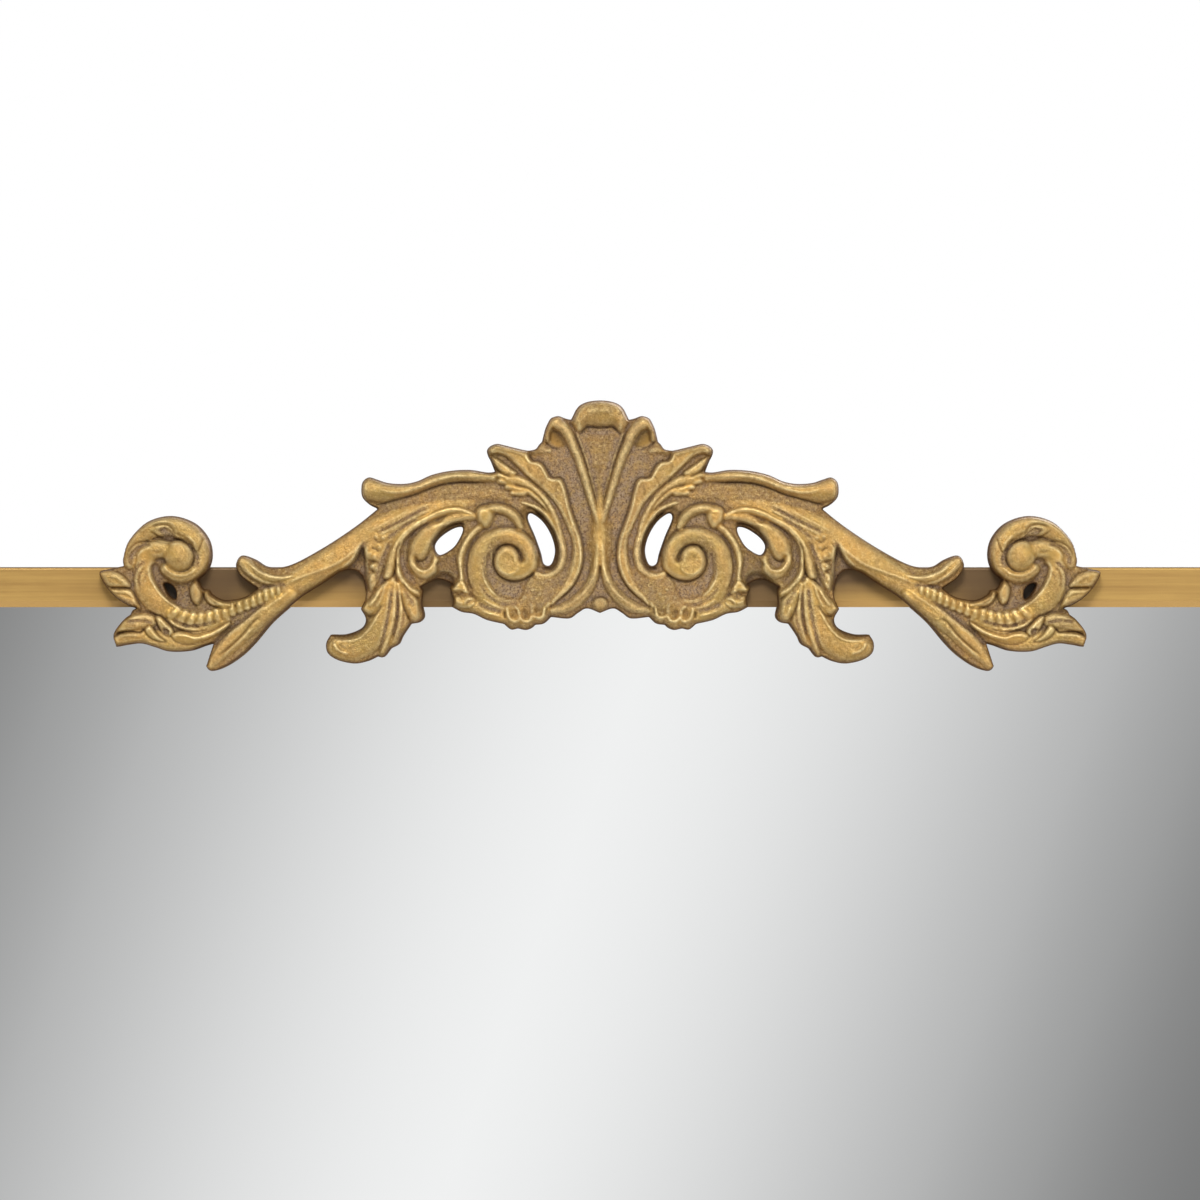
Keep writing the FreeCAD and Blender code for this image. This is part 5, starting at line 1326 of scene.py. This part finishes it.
def bumper_rubber():
    """Black rubber with a dusty speckle."""
    material, tree, shader = new_finish("black_bumper_rubber", Roughness=0.7, Specular_IOR_Level=0.35)
    speckle = grain(tree, 900, detail=4)
    colour = blend(tree, remap(tree, speckle, 0.35, 0.7), srgb(30, 30, 31), srgb(58, 57, 56))
    tree.links.new(colour, shader.inputs["Base Color"])
    bump(tree, shader, speckle, 0.35, 0.0003)
    return material


buttons = [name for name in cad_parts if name.endswith("_turn_button")]
hangers = [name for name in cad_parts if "_hanger_" in name]
coat(fibre_board(), "backing_board")
coat(foam_tape(), "glass_tape_strips")
coat(zinc_steel(), "corner_v_nails", "crest_screws", "hanger_screws", "turn_button_screws", *hangers,
     *buttons)
coat(bumper_rubber(), "wall_bumpers")

# %% [markdown]
# ## Light and world
#
# The picture is a plain white catalogue shot. The world is white where the camera, a reflection or a view
# through glass looks at it, and gives a softer light elsewhere. A lamp high in front of the mirror models the
# relief from above, a weaker one fills from the right, and a third lights the back for views from behind.

# %% World and lamps
SKY_LIGHT = 0.25


def seen_directly(tree):
    """One for what the camera, a reflection or a view through glass sees, and zero for other light."""
    rays = tree.nodes.new("ShaderNodeLightPath")
    seen = combine(tree, "MAXIMUM", rays.outputs["Is Camera Ray"], rays.outputs["Is Glossy Ray"])
    return combine(tree, "MAXIMUM", seen, rays.outputs["Is Transmission Ray"])


world = bpy.data.worlds.new("white_room")
bpy.context.scene.world = world
world.use_nodes = True
sky = world.node_tree
background = sky.nodes["Background"]
background.inputs["Color"].default_value = (1, 1, 1, 1)
sky.links.new(remap(sky, seen_directly(sky), 0, 1, SKY_LIGHT, 1.0), background.inputs["Strength"])


def lamp(name, place, aim, size, power):
    """Square lamp aimed at a point."""
    light = bpy.data.lights.new(name, "AREA")
    light.size = size
    light.energy = power
    item = bpy.data.objects.new(name, light)
    item.location = place
    item.rotation_euler = (Vector(aim) - Vector(place)).to_track_quat("-Z", "Y").to_euler()
    bpy.context.scene.collection.objects.link(item)
    print(f"{name}: {power} W, {size} m wide")


lamp("key_lamp", (-0.1, -2.75, 1.75), (0, 0, 0.1), 0.8, 54)
lamp("fill_lamp", (1.3, -1.8, 0.4), (0, 0, 0), 1.2, 7)
lamp("back_lamp", (0.6, 1.8, 0.9), (0, 0, -0.3), 1.2, 18)

# %% [markdown]
# ## What the mirror shows
#
# Photographers hang a graded card before polished work, and so does this scene: the card is bright along a
# slanted band and darker to both sides. Its place follows from the camera's, because each point of the glass
# shows one point of the card at a fixed enlargement. Only reflections see the card.

# %% Graded card for the mirror
CARD_DISTANCE = 2.6
CARD_SIZE = 5.0
BAND_SLANT = math.atan(0.375)
BAND_AT_PX = (630, 700)
CARD_STOPS = ((0, 246), (150, 236), (310, 213), (470, 182), (580, 159), (660, 141), (760, 122), (900, 122),
              (1150, 255))

mirror_low, mirror_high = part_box("mirror_glass")
card_scale = 1 + CARD_DISTANCE / (CAMERA_DISTANCE + mirror_low.y - rail_low.y)
band_place = camera.location + (spot(*BAND_AT_PX) - spot(MIDDLE_PX, VIEW_PX / 2)) * card_scale
half = CARD_SIZE / 2
card_mesh = bpy.data.meshes.new("graded_card")
card_mesh.from_pydata([(-half, 0, -half), (half, 0, -half), (half, 0, half), (-half, 0, half)], [],
                      [(0, 1, 2, 3)])
card = bpy.data.objects.new("graded_card", card_mesh)
card.location = (band_place.x, mirror_low.y - CARD_DISTANCE, band_place.z)
card.rotation_euler = (0, BAND_SLANT, 0)
bpy.context.scene.collection.objects.link(card)
card.visible_camera = card.visible_diffuse = card.visible_shadow = False
card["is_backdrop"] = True


def graded_card():
    """Glowing card, graded by the distance from its band."""
    material = bpy.data.materials.new("graded_card")
    material.use_nodes = True
    tree = material.node_tree
    tree.nodes.remove(tree.nodes["Principled BSDF"])
    off_band = apart(tree, place_axes(tree)[0], 0.0)
    widest = CARD_STOPS[-1][0]
    reach = widest * PIXEL * card_scale * math.cos(BAND_SLANT)
    ramp = tree.nodes.new("ShaderNodeValToRGB")
    ramp.color_ramp.interpolation = "B_SPLINE"
    stops = ramp.color_ramp.elements
    while len(stops) < len(CARD_STOPS):
        stops.new(0.5)
    for stop, (distance, level) in zip(stops, CARD_STOPS):
        stop.position = distance / widest
        stop.color = srgb(level, level, level)
    tree.links.new(combine(tree, "DIVIDE", off_band, reach), ramp.inputs["Fac"])
    glow = tree.nodes.new("ShaderNodeEmission")
    tree.links.new(ramp.outputs["Color"], glow.inputs["Color"])
    tree.links.new(glow.outputs["Emission"], tree.nodes["Material Output"].inputs["Surface"])
    return material


card_mesh.materials.append(graded_card())
print(f"card {CARD_SIZE} m wide, {CARD_DISTANCE} m in front of the glass")

# %% [markdown]
# ## The floor
#
# The mirror stands on a pale floor that takes its shadow. A floor with an edge would draw a horizon behind
# the mirror, so its paint fades into the white background with distance.

# %% Pale floor
FLOOR_SIZE = 14.0
FLOOR_DROP = 0.001
FADE_FROM, FADE_TO = 0.7, 2.0
FLOOR_DULL = srgb(238, 238, 237)
FLOOR_PALE = srgb(246, 246, 245)


def pale_floor():
    """Off-white paint that turns into the white background far from the mirror."""
    material, tree, shader = new_finish("pale_floor", Roughness=0.8)
    tone = remap(tree, grain(tree, 40), 0.3, 0.7)
    tree.links.new(blend(tree, tone, FLOOR_DULL, FLOOR_PALE), shader.inputs["Base Color"])
    place = tree.nodes.new("ShaderNodeTexCoord")
    far = tree.nodes.new("ShaderNodeVectorMath")
    far.operation = "LENGTH"
    tree.links.new(place.outputs["Object"], far.inputs[0])
    fade = remap(tree, far.outputs["Value"], FADE_FROM, FADE_TO)
    white = tree.nodes.new("ShaderNodeEmission")
    mix = tree.nodes.new("ShaderNodeMixShader")
    tree.links.new(times(tree, fade, seen_directly(tree)), mix.inputs["Fac"])
    tree.links.new(shader.outputs["BSDF"], mix.inputs[1])
    tree.links.new(white.outputs["Emission"], mix.inputs[2])
    tree.links.new(mix.outputs["Shader"], tree.nodes["Material Output"].inputs["Surface"])
    return material


side = FLOOR_SIZE / 2
floor_mesh = bpy.data.meshes.new("pale_floor")
floor_mesh.from_pydata([(-side, -side, 0), (side, -side, 0), (side, side, 0), (-side, side, 0)], [],
                       [(0, 1, 2, 3)])
floor = bpy.data.objects.new("pale_floor", floor_mesh)
floor.location.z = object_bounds()[0].z - FLOOR_DROP
bpy.context.scene.collection.objects.link(floor)
floor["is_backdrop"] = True
floor_mesh.materials.append(pale_floor())
print(f"floor at {floor.location.z:.3f} m, white from {FADE_TO} m away")
